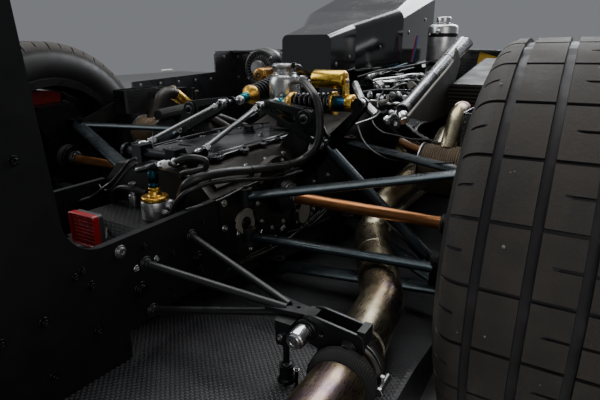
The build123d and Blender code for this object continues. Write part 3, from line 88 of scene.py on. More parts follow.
class RearEndColours(bpy.types.PropertyGroup):
    """Colours of the main finishes."""

    casing: colour_prop("Casing", "Cast gearbox and bellhousing", (0.017, 0.0165, 0.0155))
    arms: colour_prop("Arms", "Suspension arms and links", (0.022, 0.032, 0.037))
    plates: colour_prop("Plates", "Flat plates and pylons", (0.0052, 0.0054, 0.0062))
    copper: colour_prop("Driveshaft", "Driveshaft's bronze coat", (0.36, 0.15, 0.055))
    gold: colour_prop("Gold", "Gold anodised fittings", (0.66, 0.38, 0.07))
    teal: colour_prop("Teal", "Teal anodised fittings", (0.012, 0.16, 0.19))
    damper: colour_prop("Damper", "Damper bodies", (0.02, 0.075, 0.14))
    rubber: colour_prop("Tread", "Rubber of the tread", (0.036, 0.030, 0.0245))
    titanium: colour_prop("Pipe", "Heat-stained tail pipes", (0.46, 0.41, 0.28))
    lamp: colour_prop("Lamp", "Red of the rain lamp", (0.42, 0.008, 0.014))
    floor: colour_prop("Studio floor", "Pale floor under the part", (0.62, 0.62, 0.61))


class RearEndSizes(bpy.types.PropertyGroup):
    """Sizes of the finer pieces."""

    tread_depth: length_prop("Tread depth", "Depth of the grooves round the tyre", 0.007)
    lateral_depth: length_prop("Lateral depth", "Depth of the grooves across the ribs", 0.005)
    lateral_width: length_prop("Lateral width", "Width of the grooves across the ribs", 0.0055)
    spring_wire: length_prop("Spring wire", "Thickness of the springs' wire", 0.0085)
    lens: bpy.props.FloatProperty(name="Lens", description="Camera's focal length in millimetres",
                                  default=28.53)


class Sheet:
    """A material's node tree, with short ways to add and join nodes."""

    def __init__(self, name):
        self.material = bpy.data.materials.new(name)
        self.material.use_nodes = True
        self.tree = self.material.node_tree
        self.shader = self.tree.nodes["Principled BSDF"]
        self.place = self.tree.nodes.new("ShaderNodeTexCoord").outputs["Object"]

    def add(self, kind, inputs=None, **settings):
        """A new node. inputs maps a socket to a value or to an output to join."""
        made = self.tree.nodes.new(kind)
        for key, value in settings.items():
            setattr(made, key, value)
        for key, value in (inputs or {}).items():
            self.feed(made.inputs[key], value)
        return made

    def feed(self, socket, value):
        """Join an output to a socket, or set the socket."""
        if isinstance(value, bpy.types.NodeSocket):
            self.tree.links.new(value, socket)
        else:
            socket.default_value = value

    def math(self, operation, first, second=0.0, clamp=False):
        """The result of a sum."""
        return self.add("ShaderNodeMath", {0: first, 1: second}, operation=operation,
                        use_clamp=clamp).outputs[0]

    def times(self, first, second, clamp=False):
        """The product of two values."""
        return self.math("MULTIPLY", first, second, clamp)

    def noise(self, scale, detail=4.0, rough=0.55, at=None, distort=0.0):
        """Soft random grey."""
        inputs = {"Vector": at or self.place, "Scale": scale, "Detail": detail, "Roughness": rough}
        inputs["Distortion"] = distort
        return self.add("ShaderNodeTexNoise", inputs).outputs["Fac"]

    def span(self, value, low, high, to_low=0.0, to_high=1.0):
        """A value brought from one range to another, clamped."""
        inputs = {"Value": value, "From Min": low, "From Max": high, "To Min": to_low, "To Max": to_high}
        return self.add("ShaderNodeMapRange", inputs).outputs["Result"]

    def mix(self, share, first, second):
        """Two colours mixed by a share."""
        made = self.add("ShaderNodeMix", data_type="RGBA")
        for socket, value in ((made.inputs[0], share), (made.inputs[6], first), (made.inputs[7], second)):
            if isinstance(value, (tuple, list)) and len(value) == 3:
                value = (*value, 1.0)
            self.feed(socket, value)
        return made.outputs[2]

    def bump(self, height, distance, strength=0.6, after=None):
        """A bump from a height, on top of another if one is given."""
        inputs = {"Height": height, "Distance": distance, "Strength": strength}
        if after is not None:
            inputs["Normal"] = after
        return self.add("ShaderNodeBump", inputs).outputs["Normal"]

    def stretched(self, x, y, z):
        """The place scaled by axis, for brushed and streaked finishes."""
        return self.add("ShaderNodeMapping", {"Vector": self.place, "Scale": (x, y, z)}).outputs["Vector"]

    def upward(self):
        """How far a surface faces up, from 0 to 1."""
        normal = self.add("ShaderNodeNewGeometry").outputs["Normal"]
        up = self.add("ShaderNodeSeparateXYZ", {0: normal}).outputs["Z"]
        return self.span(up, 0.25, 1.0)

    def end(self, colour=None, rough=None, normal=None, metal=0.0, **constants):
        """Join the results to the shader and set its constant sockets."""
        for key, value in (("Base Color", colour), ("Roughness", rough), ("Normal", normal)):
            if value is None:
                continue
            if isinstance(value, (tuple, list)) and len(value) == 3:
                value = (*value, 1.0)
            self.feed(self.shader.inputs[key], value)
        self.shader.inputs["Metallic"].default_value = metal
        for key, value in constants.items():
            self.shader.inputs[key.replace("_", " ")].default_value = value
        return self.material


def shade_of(colour, share):
    """A colour made darker or lighter."""
    return tuple(min(1.0, part * share) for part in colour)


def satin_coat(name, colour, rough=0.4, metal=0.0, dust=0.10, grain=260.0, **constants):
    """Paint or anodising with faint mottling, dust on what faces up and a fine grain."""
    sheet = Sheet(name)
    cloud = sheet.noise(9.0, 5.0)
    tone = sheet.mix(sheet.span(cloud, 0.35, 0.7), shade_of(colour, 0.78), shade_of(colour, 1.22))
    fine = sheet.noise(grain, 3.0, 0.7)
    film = sheet.times(sheet.upward(), sheet.span(sheet.noise(34.0, 6.0), 0.45, 0.72))
    film = sheet.times(film, dust)
    tone = sheet.mix(film, tone, (0.21, 0.19, 0.165))
    gloss = sheet.span(sheet.noise(26.0, 6.0, 0.65), 0.3, 0.7, rough - 0.08, rough + 0.12)
    return sheet.end(tone, gloss, sheet.bump(fine, 0.0003, 0.25), metal, **constants)


def lamp_paint(name, colour):
    """The lamp's frame, in a darker shade of its lens."""
    return satin_coat(name, shade_of(colour, 0.75), 0.32, 0.0, 0.05)


def cast_metal(name, colour, rough=0.52, metal=0.35):
    """A sand-cast housing: grainy skin, oil stains, and a faint lighter beige tint on the faces that look up.
    """
    sheet = Sheet(name)
    grain = sheet.noise(420.0, 4.0, 0.75)
    lumps = sheet.noise(38.0, 5.0)
    stain = sheet.span(sheet.noise(7.5, 6.0, 0.6, distort=0.6), 0.42, 0.62)
    tone = sheet.mix(stain, shade_of(colour, 1.5), shade_of(colour, 0.55))
    # Faces that look up are tinted a little lighter and beige, evenly.
    tone = sheet.mix(sheet.times(sheet.upward(), 0.12), tone, (0.20, 0.17, 0.13))
    gloss = sheet.math("SUBTRACT", sheet.span(lumps, 0.3, 0.7, rough, rough + 0.2), sheet.times(stain, 0.2))
    skin = sheet.bump(grain, 0.0006, 0.5)
    return sheet.end(tone, gloss, sheet.bump(lumps, 0.0012, 0.35, skin), metal, Specular_IOR_Level=0.3)


def machined(name, colour, rough=0.25, turned=(60.0, 900.0, 60.0)):
    """Bare machined metal with fine tool marks and finger smudges."""
    sheet = Sheet(name)
    marks = sheet.noise(1.0, 3.0, 0.6, at=sheet.stretched(*turned))
    smudge = sheet.span(sheet.noise(30.0, 5.0), 0.35, 0.7)
    tone = sheet.mix(smudge, shade_of(colour, 1.1), shade_of(colour, 0.72))
    gloss = sheet.span(marks, 0.3, 0.7, rough - 0.07, rough + 0.16)
    return sheet.end(tone, gloss, sheet.bump(marks, 0.0001, 0.3), 1.0)


def gloss_black(name, colour, rough=0.16, stain=(0.10, 0.085, 0.07), coat=0.6):
    """Clear-coated carbon or black plastic with dried splashes and dust."""
    sheet = Sheet(name)
    spots = sheet.span(sheet.noise(44.0, 7.0, 0.7, distort=0.4), 0.55, 0.68)
    runs = sheet.span(sheet.noise(6.0, 5.0, 0.6), 0.42, 0.66)
    film = sheet.times(sheet.math("ADD", sheet.times(spots, 0.5), runs), sheet.upward())
    tone = sheet.mix(sheet.times(film, 0.20, True), colour, stain)
    gloss = sheet.math("ADD", sheet.times(film, 0.38), rough, True)
    ripple = sheet.bump(sheet.noise(22.0, 3.0), 0.0009, 0.3)
    return sheet.end(tone, gloss, ripple, 0.0, Coat_Weight=coat, Coat_Roughness=0.12)


def woven_carbon(name, axes, tow=0.0032, dark=(0.004, 0.004, 0.0045), light=(0.022, 0.022, 0.025), rough=0.34,
                 coat=0.0, dust=0.06, over=4.0, shine=0.5):
    """A weave laid over two of the part's axes: twill, or plain where each thread passes over 2; the threads
    that run one way carry a painted sheen, brightest along each tow's crown.
    """
    sheet = Sheet(name)
    place = sheet.add("ShaderNodeSeparateXYZ", {0: sheet.place}).outputs
    along = sheet.math("DIVIDE", place[axes[0]], tow)
    across = sheet.math("DIVIDE", place[axes[1]], tow)
    cell = sheet.math("ADD", sheet.math("FLOOR", along), sheet.math("FLOOR", across))
    warps = sheet.math("LESS_THAN", sheet.math("FLOORED_MODULO", cell, over), over * 0.375)
    rounded = []
    for way in (along, across):
        middle = sheet.math("SUBTRACT", sheet.math("FRACT", way), 0.5)
        rounded.append(sheet.math("SUBTRACT", 1.0, sheet.times(sheet.math("ABSOLUTE", middle), 1.6)))
    warp = sheet.times(warps, rounded[1])
    weft = sheet.times(sheet.math("SUBTRACT", 1.0, warps), rounded[0])
    height = sheet.math("ADD", warp, sheet.times(weft, 0.75))
    # Painted sheen: the threads that run one way are painted lighter towards each tow's crown, and the others
    # stay at the dark tone; the fibre itself is one black.
    tone = sheet.mix(sheet.times(warps, height), dark, light)
    film = sheet.times(sheet.upward(), sheet.span(sheet.noise(14.0, 6.0), 0.4, 0.75))
    tone = sheet.mix(sheet.times(film, dust), tone, (0.17, 0.155, 0.14))
    gloss = sheet.span(sheet.noise(18.0, 5.0), 0.3, 0.7, rough - 0.05, rough + 0.14)
    normal = sheet.bump(height, 0.0007, 0.55)
    return sheet.end(tone, gloss, normal, 0.0, Coat_Weight=coat, Coat_Roughness=0.15,
                     Specular_IOR_Level=shine)


def heat_stained(name, colour):
    """Titanium pipe with straw, blue and rose bands from the heat, and a brushed grain."""
    sheet = Sheet(name)
    band = sheet.noise(5.0, 4.0, 0.6, distort=0.8)
    ramp = sheet.add("ShaderNodeValToRGB", {"Fac": band})
    stops = ((0.30, (0.20, 0.17, 0.13)), (0.44, colour), (0.56, (0.33, 0.25, 0.15)),
             (0.63, (0.24, 0.17, 0.19)), (0.70, (0.17, 0.19, 0.25)))
    table = ramp.color_ramp.elements
    table[0].position, table[0].color = stops[0][0], (*stops[0][1], 1)
    table[1].position, table[1].color = stops[-1][0], (*stops[-1][1], 1)
    for where, tone in stops[1:-1]:
        table.new(where).color = (*tone, 1)
    soot = sheet.span(sheet.noise(11.0, 7.0, 0.7), 0.5, 0.75)
    tone = sheet.mix(sheet.times(soot, 0.45), ramp.outputs["Color"], (0.07, 0.06, 0.05))
    marks = sheet.noise(1.0, 4.0, 0.6, at=sheet.stretched(500.0, 40.0, 500.0))
    gloss = sheet.math("ADD", sheet.span(marks, 0.3, 0.7, 0.22, 0.38), sheet.times(soot, 0.15))
    return sheet.end(tone, gloss, sheet.bump(marks, 0.0002, 0.3), 1.0)


def soft_rubber(name, colour, rough=0.5, grain=500.0, dust=0.1):
    """Hose or seal rubber with a dull skin and dust."""
    sheet = Sheet(name)
    cloud = sheet.noise(28.0, 5.0)
    film = sheet.times(sheet.upward(), sheet.span(cloud, 0.4, 0.7))
    tone = sheet.mix(sheet.times(film, dust), colour, (0.20, 0.185, 0.17))
    gloss = sheet.span(cloud, 0.3, 0.7, rough - 0.1, rough + 0.12)
    return sheet.end(tone, gloss, sheet.bump(sheet.noise(grain, 3.0), 0.0003, 0.3), 0.0)


def glowing_lens(name, colour):
    """Red lamp glass with a grid of small lenses behind it."""
    sheet = Sheet(name)
    place = sheet.add("ShaderNodeSeparateXYZ", {0: sheet.place}).outputs
    domes = []
    for axis in ("X", "Z"):
        part = sheet.math("FRACT", sheet.math("DIVIDE", place[axis], 0.0062))
        domes.append(sheet.math("ABSOLUTE", sheet.math("SUBTRACT", part, 0.5)))
    edge = sheet.math("MAXIMUM", *domes)
    tone = sheet.mix(sheet.span(edge, 0.25, 0.5), shade_of(colour, 0.7), shade_of(colour, 0.12))
    height = sheet.math("SUBTRACT", 0.5, edge)
    return sheet.end(tone, 0.42, sheet.bump(height, 0.0012, 0.7), 0.0, Specular_IOR_Level=0.3)


def tread_rubber(name, colour):
    """Worn racing rubber: brown-grey, with crumbs, picked-up rubber, scuffs and a pitted skin."""
    sheet = Sheet(name)
    broad = sheet.noise(13.0, 6.0, 0.62)
    pick_up = sheet.span(sheet.noise(150.0, 6.0, 0.8), 0.60, 0.70)
    scuff = sheet.span(sheet.noise(5.0, 8.0, 0.7, distort=1.2), 0.60, 0.72)
    tone = sheet.mix(sheet.span(broad, 0.35, 0.68), shade_of(colour, 0.72), shade_of(colour, 1.45))
    tone = sheet.mix(sheet.times(pick_up, 0.35), tone, (0.10, 0.09, 0.08))
    tone = sheet.mix(sheet.times(scuff, 0.30), tone, (0.13, 0.115, 0.10))
    rough = sheet.span(broad, 0.3, 0.7, 0.62, 0.84)
    crumbs = sheet.bump(sheet.noise(420.0, 5.0, 0.8), 0.0012, 0.6)
    pits = sheet.bump(sheet.noise(90.0, 5.0, 0.7), 0.0016, 0.45, crumbs)
    return sheet.end(tone, rough, pits, 0.0)


def wrapped_cloth(name, colour):
    """Heat wrap: a coarse woven band, brown from the heat."""
    sheet = Sheet(name)
    threads = sheet.add("ShaderNodeTexWave", {"Vector": sheet.stretched(1.0, 1.0, 1.0), "Scale": 110.0,
                                              "Distortion": 3.0, "Detail": 3.0},
                        wave_type="BANDS").outputs["Fac"]
    burnt = sheet.span(sheet.noise(22.0, 5.0), 0.35, 0.7)
    tone = sheet.mix(burnt, colour, shade_of(colour, 0.35))
    return sheet.end(tone, 0.85, sheet.bump(threads, 0.0012, 0.8), 0.0)


class Finishes:
    """Every finish by a plain name, made once."""

    made = {}

    @classmethod
    def get(cls, name):
        """The finish of that name."""
        if name not in cls.made:
            maker, label, colour, *rest = FINISH_TABLE[name]
            options = rest.pop() if rest and isinstance(rest[-1], dict) else {}
            if isinstance(colour, str):
                colour = tuple(getattr(bpy.context.scene.rear_end_colours, colour))
            cls.made[name] = maker(label, colour, *rest, **options)
        return cls.made[name]


# Each finish: its maker, the material's name, its colour or the name of a colour setting, and the rest
FINISH_TABLE = {
    "casing": (cast_metal, "Cast casing", "casing"),
    "engine": (cast_metal, "Engine casting", (0.010, 0.010, 0.011), 0.46, 0.4),
    "cover_black": (satin_coat, "Crackle cover", (0.010, 0.010, 0.0105), 0.45, 0.2, 0.05, 900.0,
                    {"Specular_IOR_Level": 0.3}),
    "lid": (gloss_black, "Gearbox lid", (0.009, 0.0095, 0.011), 0.20, (0.16, 0.155, 0.15)),
    "airbox": (gloss_black, "Airbox gloss", (0.0065, 0.0065, 0.007), 0.12, (0.06, 0.06, 0.06), 1.0),
    "arms": (satin_coat, "Arm paint", "arms", 0.30, 0.75, 0.10),
    "plates": (satin_coat, "Plate black", "plates", 0.46, 0.0, 0.03, {"Specular_IOR_Level": 0.22}),
    "copper": (satin_coat, "Bronze shaft", "copper", 0.34, 0.85, 0.05),
    "gold": (machined, "Gold anodised", "gold", 0.26),
    "bright_gold": (machined, "Bright gold", (0.83, 0.53, 0.08), 0.22),
    "teal": (machined, "Teal anodised", "teal", 0.24),
    "damper": (machined, "Damper blue", "damper", 0.3),
    "silver": (machined, "Machined alloy", (0.62, 0.62, 0.63), 0.26),
    "bright": (machined, "Polished alloy", (0.80, 0.80, 0.80), 0.14, (300.0, 300.0, 60.0)),
    "pot_silver": (satin_coat, "Spun alloy", (0.50, 0.50, 0.49), 0.26, 0.95, 0.0, 700.0),
    "tube_bright": (satin_coat, "Polished tube", (0.42, 0.43, 0.44), 0.20, 1.0, 0.0, 1200.0),
    "steel": (machined, "Dull steel", (0.30, 0.30, 0.31), 0.34),
    "dark_steel": (satin_coat, "Black steel", (0.013, 0.0135, 0.015), 0.32, 0.8, 0.06),
    "spring": (satin_coat, "Spring black", (0.016, 0.016, 0.018), 0.28, 0.5, 0.08),
    "pipe": (heat_stained, "Stained pipe", "titanium"),
    "header": (heat_stained, "Header steel", (0.42, 0.38, 0.31)),
    # dark_pipe: the left pipes painted near black, unlike their stained titanium twins on the right: painted
    # shade on the car's far side.
    "dark_pipe": (satin_coat, "Sooted pipe", (0.028, 0.025, 0.022), 0.38, 0.6),
    "wrap": (wrapped_cloth, "Heat wrap", (0.17, 0.12, 0.07)),
    # The weave finishes give the fibre's dark tone, then the tone of the painted sheen on its threads.
    "floor_weave": (woven_carbon, "Floor weave", ("X", "Y"), 0.0052, (0.0035, 0.0035, 0.004),
                    (0.045, 0.046, 0.052), 0.38, {"dust": 0.03, "over": 2.0}),
    "side_weave": (woven_carbon, "Panel weave", ("Y", "Z"), 0.0030, {"rough": 0.26, "coat": 0.7}),
    "duct_weave": (woven_carbon, "Duct weave", ("Y", "Z"), 0.0052, (0.003, 0.003, 0.003),
                   (0.048, 0.042, 0.034), 0.55, 0.0, 0.0, 2.0, 0.25),
    "crash_weave": (woven_carbon, "Crash box weave", ("X", "Y"), 0.0034, (0.003, 0.003, 0.0035),
                    (0.016, 0.016, 0.018), 0.44, {"dust": 0.02, "shine": 0.25}),
    "wing_weave": (woven_carbon, "Wing weave", ("X", "Y"), 0.0030, {"rough": 0.22, "coat": 0.8}),
    "rubber": (soft_rubber, "Hose rubber", (0.013, 0.0125, 0.012), 0.36, 500.0, 0.05),
    "sidewall": (soft_rubber, "Sidewall rubber", (0.017, 0.0165, 0.016), 0.55, 260.0, 0.16),
    "tread": (tread_rubber, "Tread rubber", "rubber"),
    # Groove rubber: unscuffed rubber, darkened below the sidewall's tone with painted shade in the grooves.
    "groove": (soft_rubber, "Groove rubber", (0.013, 0.0125, 0.016), 0.6, 300.0, 0.05),
    "rim": (satin_coat, "Rim black", (0.018, 0.018, 0.020), 0.32, 0.5, 0.14),
    "disc": (satin_coat, "Carbon disc", (0.030, 0.030, 0.031), 0.45, 0.2, 0.05, 700.0),
    "caliper_red": (satin_coat, "Caliper red", (0.26, 0.012, 0.012), 0.3, 0.0, 0.06),
    "lens": (glowing_lens, "Lamp lens", "lamp"),
    "lamp_frame": (lamp_paint, "Lamp frame", "lamp"),
    "lamp_shell": (satin_coat, "Lamp housing", (0.035, 0.035, 0.034), 0.5, 0.1, 0.1),
    "damper_black": (satin_coat, "Black anodised", (0.014, 0.014, 0.016), 0.3, 0.6, 0.08),
    "bronze": (machined, "Bronze anodised", (0.36, 0.19, 0.055), 0.3),
    "teal_dark": (machined, "Dark teal fitting", (0.012, 0.05, 0.07), 0.28),
    "brushed": (machined, "Brushed alloy", (0.60, 0.60, 0.60), 0.3, (40.0, 40.0, 700.0)),
    "alternator_black": (satin_coat, "Alternator black", (0.012, 0.012, 0.012), 0.42, 0.3, 0.1),
    "alternator_grey": (satin_coat, "Alternator fins", (0.10, 0.10, 0.095), 0.42, 0.6, 0.15),
    "stone": (satin_coat, "Picked-up stones", (0.20, 0.185, 0.16), 0.7, 0.0, 0.1),
    "rocker_black": (satin_coat, "Rocker black", (0.016, 0.018, 0.0175), 0.30, 0.6, 0.05),
    "link_grey": (satin_coat, "Link grey", (0.15, 0.155, 0.155), 0.28, 0.85, 0.03),
    "rod_black": (satin_coat, "Stay black", (0.010, 0.0105, 0.012), 0.36, 0.1, 0.06),
    "clamp_dark": (satin_coat, "Clamp band", (0.06, 0.055, 0.05), 0.30, 0.85, 0.05),
    "cable": (soft_rubber, "Cable skin", (0.010, 0.010, 0.011), 0.36, 400.0, 0.05),
    "foil": (satin_coat, "Gold foil", (0.55, 0.33, 0.06), 0.24, 0.9, 0.0, 120.0),
    "black_wrap": (wrapped_cloth, "Black wrap", (0.010, 0.0095, 0.009)),
    "sleeve_black": (wrapped_cloth, "Black sleeve", (0.022, 0.021, 0.020)),
    "amber": (satin_coat, "Amber sleeve", (0.22, 0.085, 0.012), 0.42, 0.1, 0.1),
    "white": (satin_coat, "White plastic", (0.62, 0.61, 0.58), 0.42, 0.0, 0.2),
    "yellow": (satin_coat, "Yellow sleeve", (0.74, 0.46, 0.04), 0.5, 0.0, 0.1),
    "red_line": (satin_coat, "Red line", (0.50, 0.02, 0.02), 0.35, 0.0, 0.05),
    "blue_line": (satin_coat, "Blue line", (0.03, 0.09, 0.34), 0.35, 0.0, 0.05),
}

# The solids that stay in sight, by their finish
SOLID_FINISHES = {
    "airbox": ("airbox",),
    "arms": ("lower_wishbone_left", "lower_wishbone_right", "pushrods", "toe_links", "upper_wishbone_left",
             "upper_wishbone_right"),
    "caliper_red": ("calipers",),
    "casing": ("bellhousing", "gearbox_case"),
    "cover_black": ("cam_covers",),
    "crash_weave": ("crash_box",),
    # exhaust_left is painted near black as painted shade; exhaust_right is stained titanium.
    "dark_pipe": ("exhaust_left",),
    "dark_steel": ("damper_bracket", "roll_bar", "roll_bar_bearings", "upright_left", "upright_right"),
    "disc": ("brake_disc_left", "brake_disc_right"),
    "duct_weave": ("air_duct",),
    "engine": ("engine_block",),
    "floor_weave": ("diffuser_floor",),
    "pipe": ("exhaust_right",),
    "plates": ("crash_plates", "wing_pylons"),
    "rim": ("rim_left", "rim_right"),
    "side_weave": ("brake_scoops", "bulkheads", "side_panels", "wing_end_plates"),
    "wing_weave": ("wing_flap", "wing_main"),
}


def coat_nodes():
    """Give every solid its finish, smooth where it is round and sharp at its edges."""
    for finish, names in SOLID_FINISHES.items():
        for name in names:
            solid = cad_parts.get(name)
            if solid is None:
                raise RuntimeError(f"the frame has no solid named {name}")
            solid.data.materials.clear()
            solid.data.materials.append(Finishes.get(finish))
            for face in solid.data.polygons:
                face.material_index = 0
                face.use_smooth = True
            solid.data.set_sharp_from_angle(angle=math.radians(32))


def on_both_sides(shape, *builders):
    """Let each builder add its forms on the right and on the left."""
    for _, side in SIDES:
        shape.side = side
        for builder in builders:
            builder(shape)


class REAREND_OT_finishes(bpy.types.Operator):
    """Give every solid of the frame its finish."""

    bl_idname = "rear_end.finishes"
    bl_label = "Finishes"

    def execute(self, context):
        coat_nodes()
        return {"FINISHED"}


def eased(profile, size):
    """A profile with each sharp corner cut back a little, so that its edges catch the light."""
    kept = [profile[0]]
    for before, corner, after in zip(profile, profile[1:], profile[2:]):
        here = Vector(corner[:2])
        back = Vector(before[:2]) - here
        on = Vector(after[:2]) - here
        if back.length < 1e-6 or on.length < 1e-6 or back.angle(on) > math.radians(152):
            kept.append(corner)
            continue
        cut = min(size, back.length * 0.4, on.length * 0.4)
        for way in (back, on):
            kept.append((*(here + way.normalized() * cut), *corner[2:]))
    kept.append(profile[-1])
    return kept


def smooth_run(points, steps=8):
    """Places along a smooth line through the given ones."""
    given = [Vector(point) for point in points]
    ends = [given[0] * 2 - given[1], *given, given[-1] * 2 - given[-2]]
    places = []
    for before, start, end, after in zip(ends, ends[1:], ends[2:], ends[3:]):
        for step in range(steps):
            t = step / steps
            swing = (2 * start + (end - before) * t + (2 * before - 5 * start + 4 * end - after) * t * t
                     + (3 * start - before - 3 * end + after) * t ** 3)
            places.append(swing / 2)
    places.append(given[-1])
    return places


def inset(outline, amount):
    """An outline drawn in by an amount. It runs anticlockwise."""
    drawn = []
    count = len(outline)
    for index, corner in enumerate(outline):
        here = Vector(corner)
        back = (here - Vector(outline[index - 1])).normalized()
        on = (Vector(outline[(index + 1) % count]) - here).normalized()
        inward = Vector((-back.y - on.y, back.x + on.x))
        if inward.length < 1e-6:
            inward = Vector((-back.y, back.x))
        inward.normalize()
        share = max(0.35, inward.dot(Vector((-back.y, back.x))))
        drawn.append(tuple(here + inward * (amount / share)))
    return drawn


def rounded(outline, radius, steps=4):
    """An outline with its corners turned into short arcs."""
    made = []
    count = len(outline)
    for index, corner in enumerate(outline):
        here = Vector(corner)
        back = Vector(outline[index - 1]) - here
        on = Vector(outline[(index + 1) % count]) - here
        reach = min(radius, back.length * 0.45, on.length * 0.45)
        start = here + back.normalized() * reach
        end = here + on.normalized() * reach
        for step in range(steps + 1):
            t = step / steps
            made.append(tuple(start.lerp(here, t).lerp(here.lerp(end, t), t)))
    return made


def turns_of(count, shift=0.0):
    """The cosine and sine of evenly spread turns, shifted by a part of a step."""
    angles = [math.tau * (step + shift) / count for step in range(count)]
    return [(math.cos(angle), math.sin(angle)) for angle in angles]


def axes_of(toward):
    """The direction of a run and two directions square to it."""
    along = Vector(toward).normalized()
    first = along.cross(Vector(UP if abs(along.z) < 0.9 else AHEAD)).normalized()
    return along, first, along.cross(first)


def level_ring(across, ahead, height):
    """Four corners at a height, between two distances across and two ahead."""
    return [(across[0], ahead[0], height), (across[1], ahead[0], height), (across[1], ahead[1], height),
            (across[0], ahead[1], height)]


def circle_at(a, b, radius, count=20):
    """A round outline about a place, as pairs."""
    return [(a + radius * c, b + radius * s) for c, s in turns_of(count)]


def oblong(a, b):
    """A rectangle about the middle, from its half sizes."""
    return [(-a, -b), (a, -b), (a, b), (-a, b)]


def lying(height):
    """Lays an outline (across, ahead) flat at a height."""
    return lambda a, b, c: (a, b, height + c)


def facing_back(ahead):
    """Stands an outline (across, up) up at a place ahead."""
    return lambda a, b, c: (a, ahead + c, b)


def facing_out(across):
    """Stands an outline (ahead, up) up at a distance from the car's middle."""
    return lambda a, b, c: (across + c, a, b)


class Shape:
    """A piece in the making, in millimetres of the car, with a finish for every face."""

    def __init__(self, name, side=1):
        self.name = name
        self.side = side
        self.mesh = bmesh.new()
        self.finishes = []

    def number(self, finish):
        """The material index of a finish."""
        if finish not in self.finishes:
            self.finishes.append(finish)
        return self.finishes.index(finish)

    def face(self, corners, finish):
        """One face."""
        made = self.mesh.faces.new(corners)
        made.material_index = self.number(finish)
        made.smooth = True

    def row(self, places):
        """New corners at the places, mirrored where the piece is on the left."""
        return [self.mesh.verts.new(spot(self.side * x, y, z)) for x, y, z in places]

    def skin(self, rings, finish):
        """Faces between rings of places. A ring of one place is a tip. Gives the rows of corners."""
        rows = [self.row(ring) for ring in rings]
        for step, (near, far) in enumerate(zip(rows, rows[1:])):
            tone = finish if isinstance(finish, str) else finish[step]
            count = max(len(near), len(far))
            for turn in range(count):
                after = (turn + 1) % count
                if len(near) == 1:
                    corners = (near[0], far[after], far[turn])
                elif len(far) == 1:
                    corners = (near[turn], near[after], far[0])
                else:
                    corners = (near[turn], near[after], far[after], far[turn])
                self.face(corners, tone)
        return rows

    def loop(self, rings, tone_at):
        """A closed band of closed rings. tone_at gives a face's finish from its two numbers."""
        rows = [self.row(ring) for ring in rings]
        for index, near in enumerate(rows):
            far = rows[(index + 1) % len(rows)]
            for step in range(len(near)):
                after = (step + 1) % len(near)
                self.face((near[step], near[after], far[after], far[step]), tone_at(index, step))

    def turned(self, start, toward, profile, finish, sides=32, ease=0.8):
        """A turned form: distances along toward from start, each with its radius and perhaps its finish."""
        along, first, second = axes_of(toward)
        steps = list(profile)
        if steps[0][1] > 0:
            steps.insert(0, (steps[0][0], 0))
        if steps[-1][1] > 0:
            steps.append((steps[-1][0], 0, *steps[-1][2:]))
        steps = eased(steps, ease)
        origin = Vector(start)
        rings = []
        tones = []
        for distance, radius, *other in steps:
            middle = origin + along * distance
            if radius <= 1e-6:
                rings.append([middle])
            else:
                rings.append([middle + (first * c + second * s) * radius for c, s in turns_of(sides)])
            tones.append(other[0] if other else finish)
        self.skin(rings, tones[1:])

    def rod(self, start, toward, low, high, radius, *others):
        """A plain round form along toward, between two distances from start."""
        self.turned(start, toward, [(low, radius), (high, radius)], *others)

    def tube(self, points, radius, finish, sides=12, bulge=None):
        """A round tube along places. bulge gives a share of the radius for each place."""
        line = [Vector(point) for point in points]
        rings = [[line[0]]]
        across = None
        for index, here in enumerate(line):
            ahead = (line[min(index + 1, len(line) - 1)] - line[max(index - 1, 0)]).normalized()
            across = ahead.orthogonal() if across is None else across - ahead * across.dot(ahead)
            across.normalize()
            other = ahead.cross(across)
            reach = radius * (bulge(index) if bulge else 1)
            rings.append([here + (across * c + other * s) * reach for c, s in turns_of(sides)])
        rings.append([line[-1]])
        self.skin(rings, finish)

    def plate(self, outline, place, low, high, finish, ease=0.7):
        """A flat form: an anticlockwise outline put into the car by place(a, b, c), from low to high in c."""
        small = inset(outline, ease)
        levels = ((small, low), (outline, low + ease), (outline, high - ease), (small, high))
        self.block([[place(a, b, c) for a, b in shape] for shape, c in levels], finish)

    def block(self, rings, finish):
        """A solid between rings of places, closed at both ends."""
        rows = self.skin(rings, finish)
        self.face(rows[0][::-1], finish)
        self.face(rows[-1], finish)

    def pierced(self, outline, holes, place, low, high, finish, ease=0.5):
        """A flat form with holes, all anticlockwise, from low to high in c."""
        loops = [outline, *holes]
        drawn = [inset(outline, ease)] + [inset(hole, -ease) for hole in holes]
        flat = [[Vector((a, b, 0)) for a, b in loop] for loop in drawn]
        corners = [corner for loop in drawn for corner in loop]
        levels = ((drawn, low), (loops, low + ease), (loops, high - ease), (drawn, high))
        rows = [self.row([place(a, b, c) for shape in shapes for a, b in shape]) for shapes, c in levels]
        for triangle in tessellate_polygon(flat):
            if len({corners[index] for index in triangle}) == 3:
                self.face([rows[0][index] for index in triangle], finish)
                self.face([rows[-1][index] for index in triangle[::-1]], finish)
        start = 0
        for loop in loops:
            for step in range(len(loop)):
                near = start + step
                far = start + (step + 1) % len(loop)
                for lower, upper in zip(rows, rows[1:]):
                    self.face((lower[near], lower[far], upper[far], upper[near]), finish)
            start += len(loop)

    def bolt(self, at, toward, size=5, finish="steel", washer="silver"):
        """A socket-head bolt of that head radius, on its washer."""
        self.rod(at, toward, 0, 0.35 * size, 1.65 * size, washer, 20, 0.1 * size)
        head = [(0.3 * size, size), (1.35 * size, size), (1.35 * size, 0.55 * size),
                (0.75 * size, 0.5 * size)]
        self.turned(at, toward, head, finish, 18, 0.12 * size)

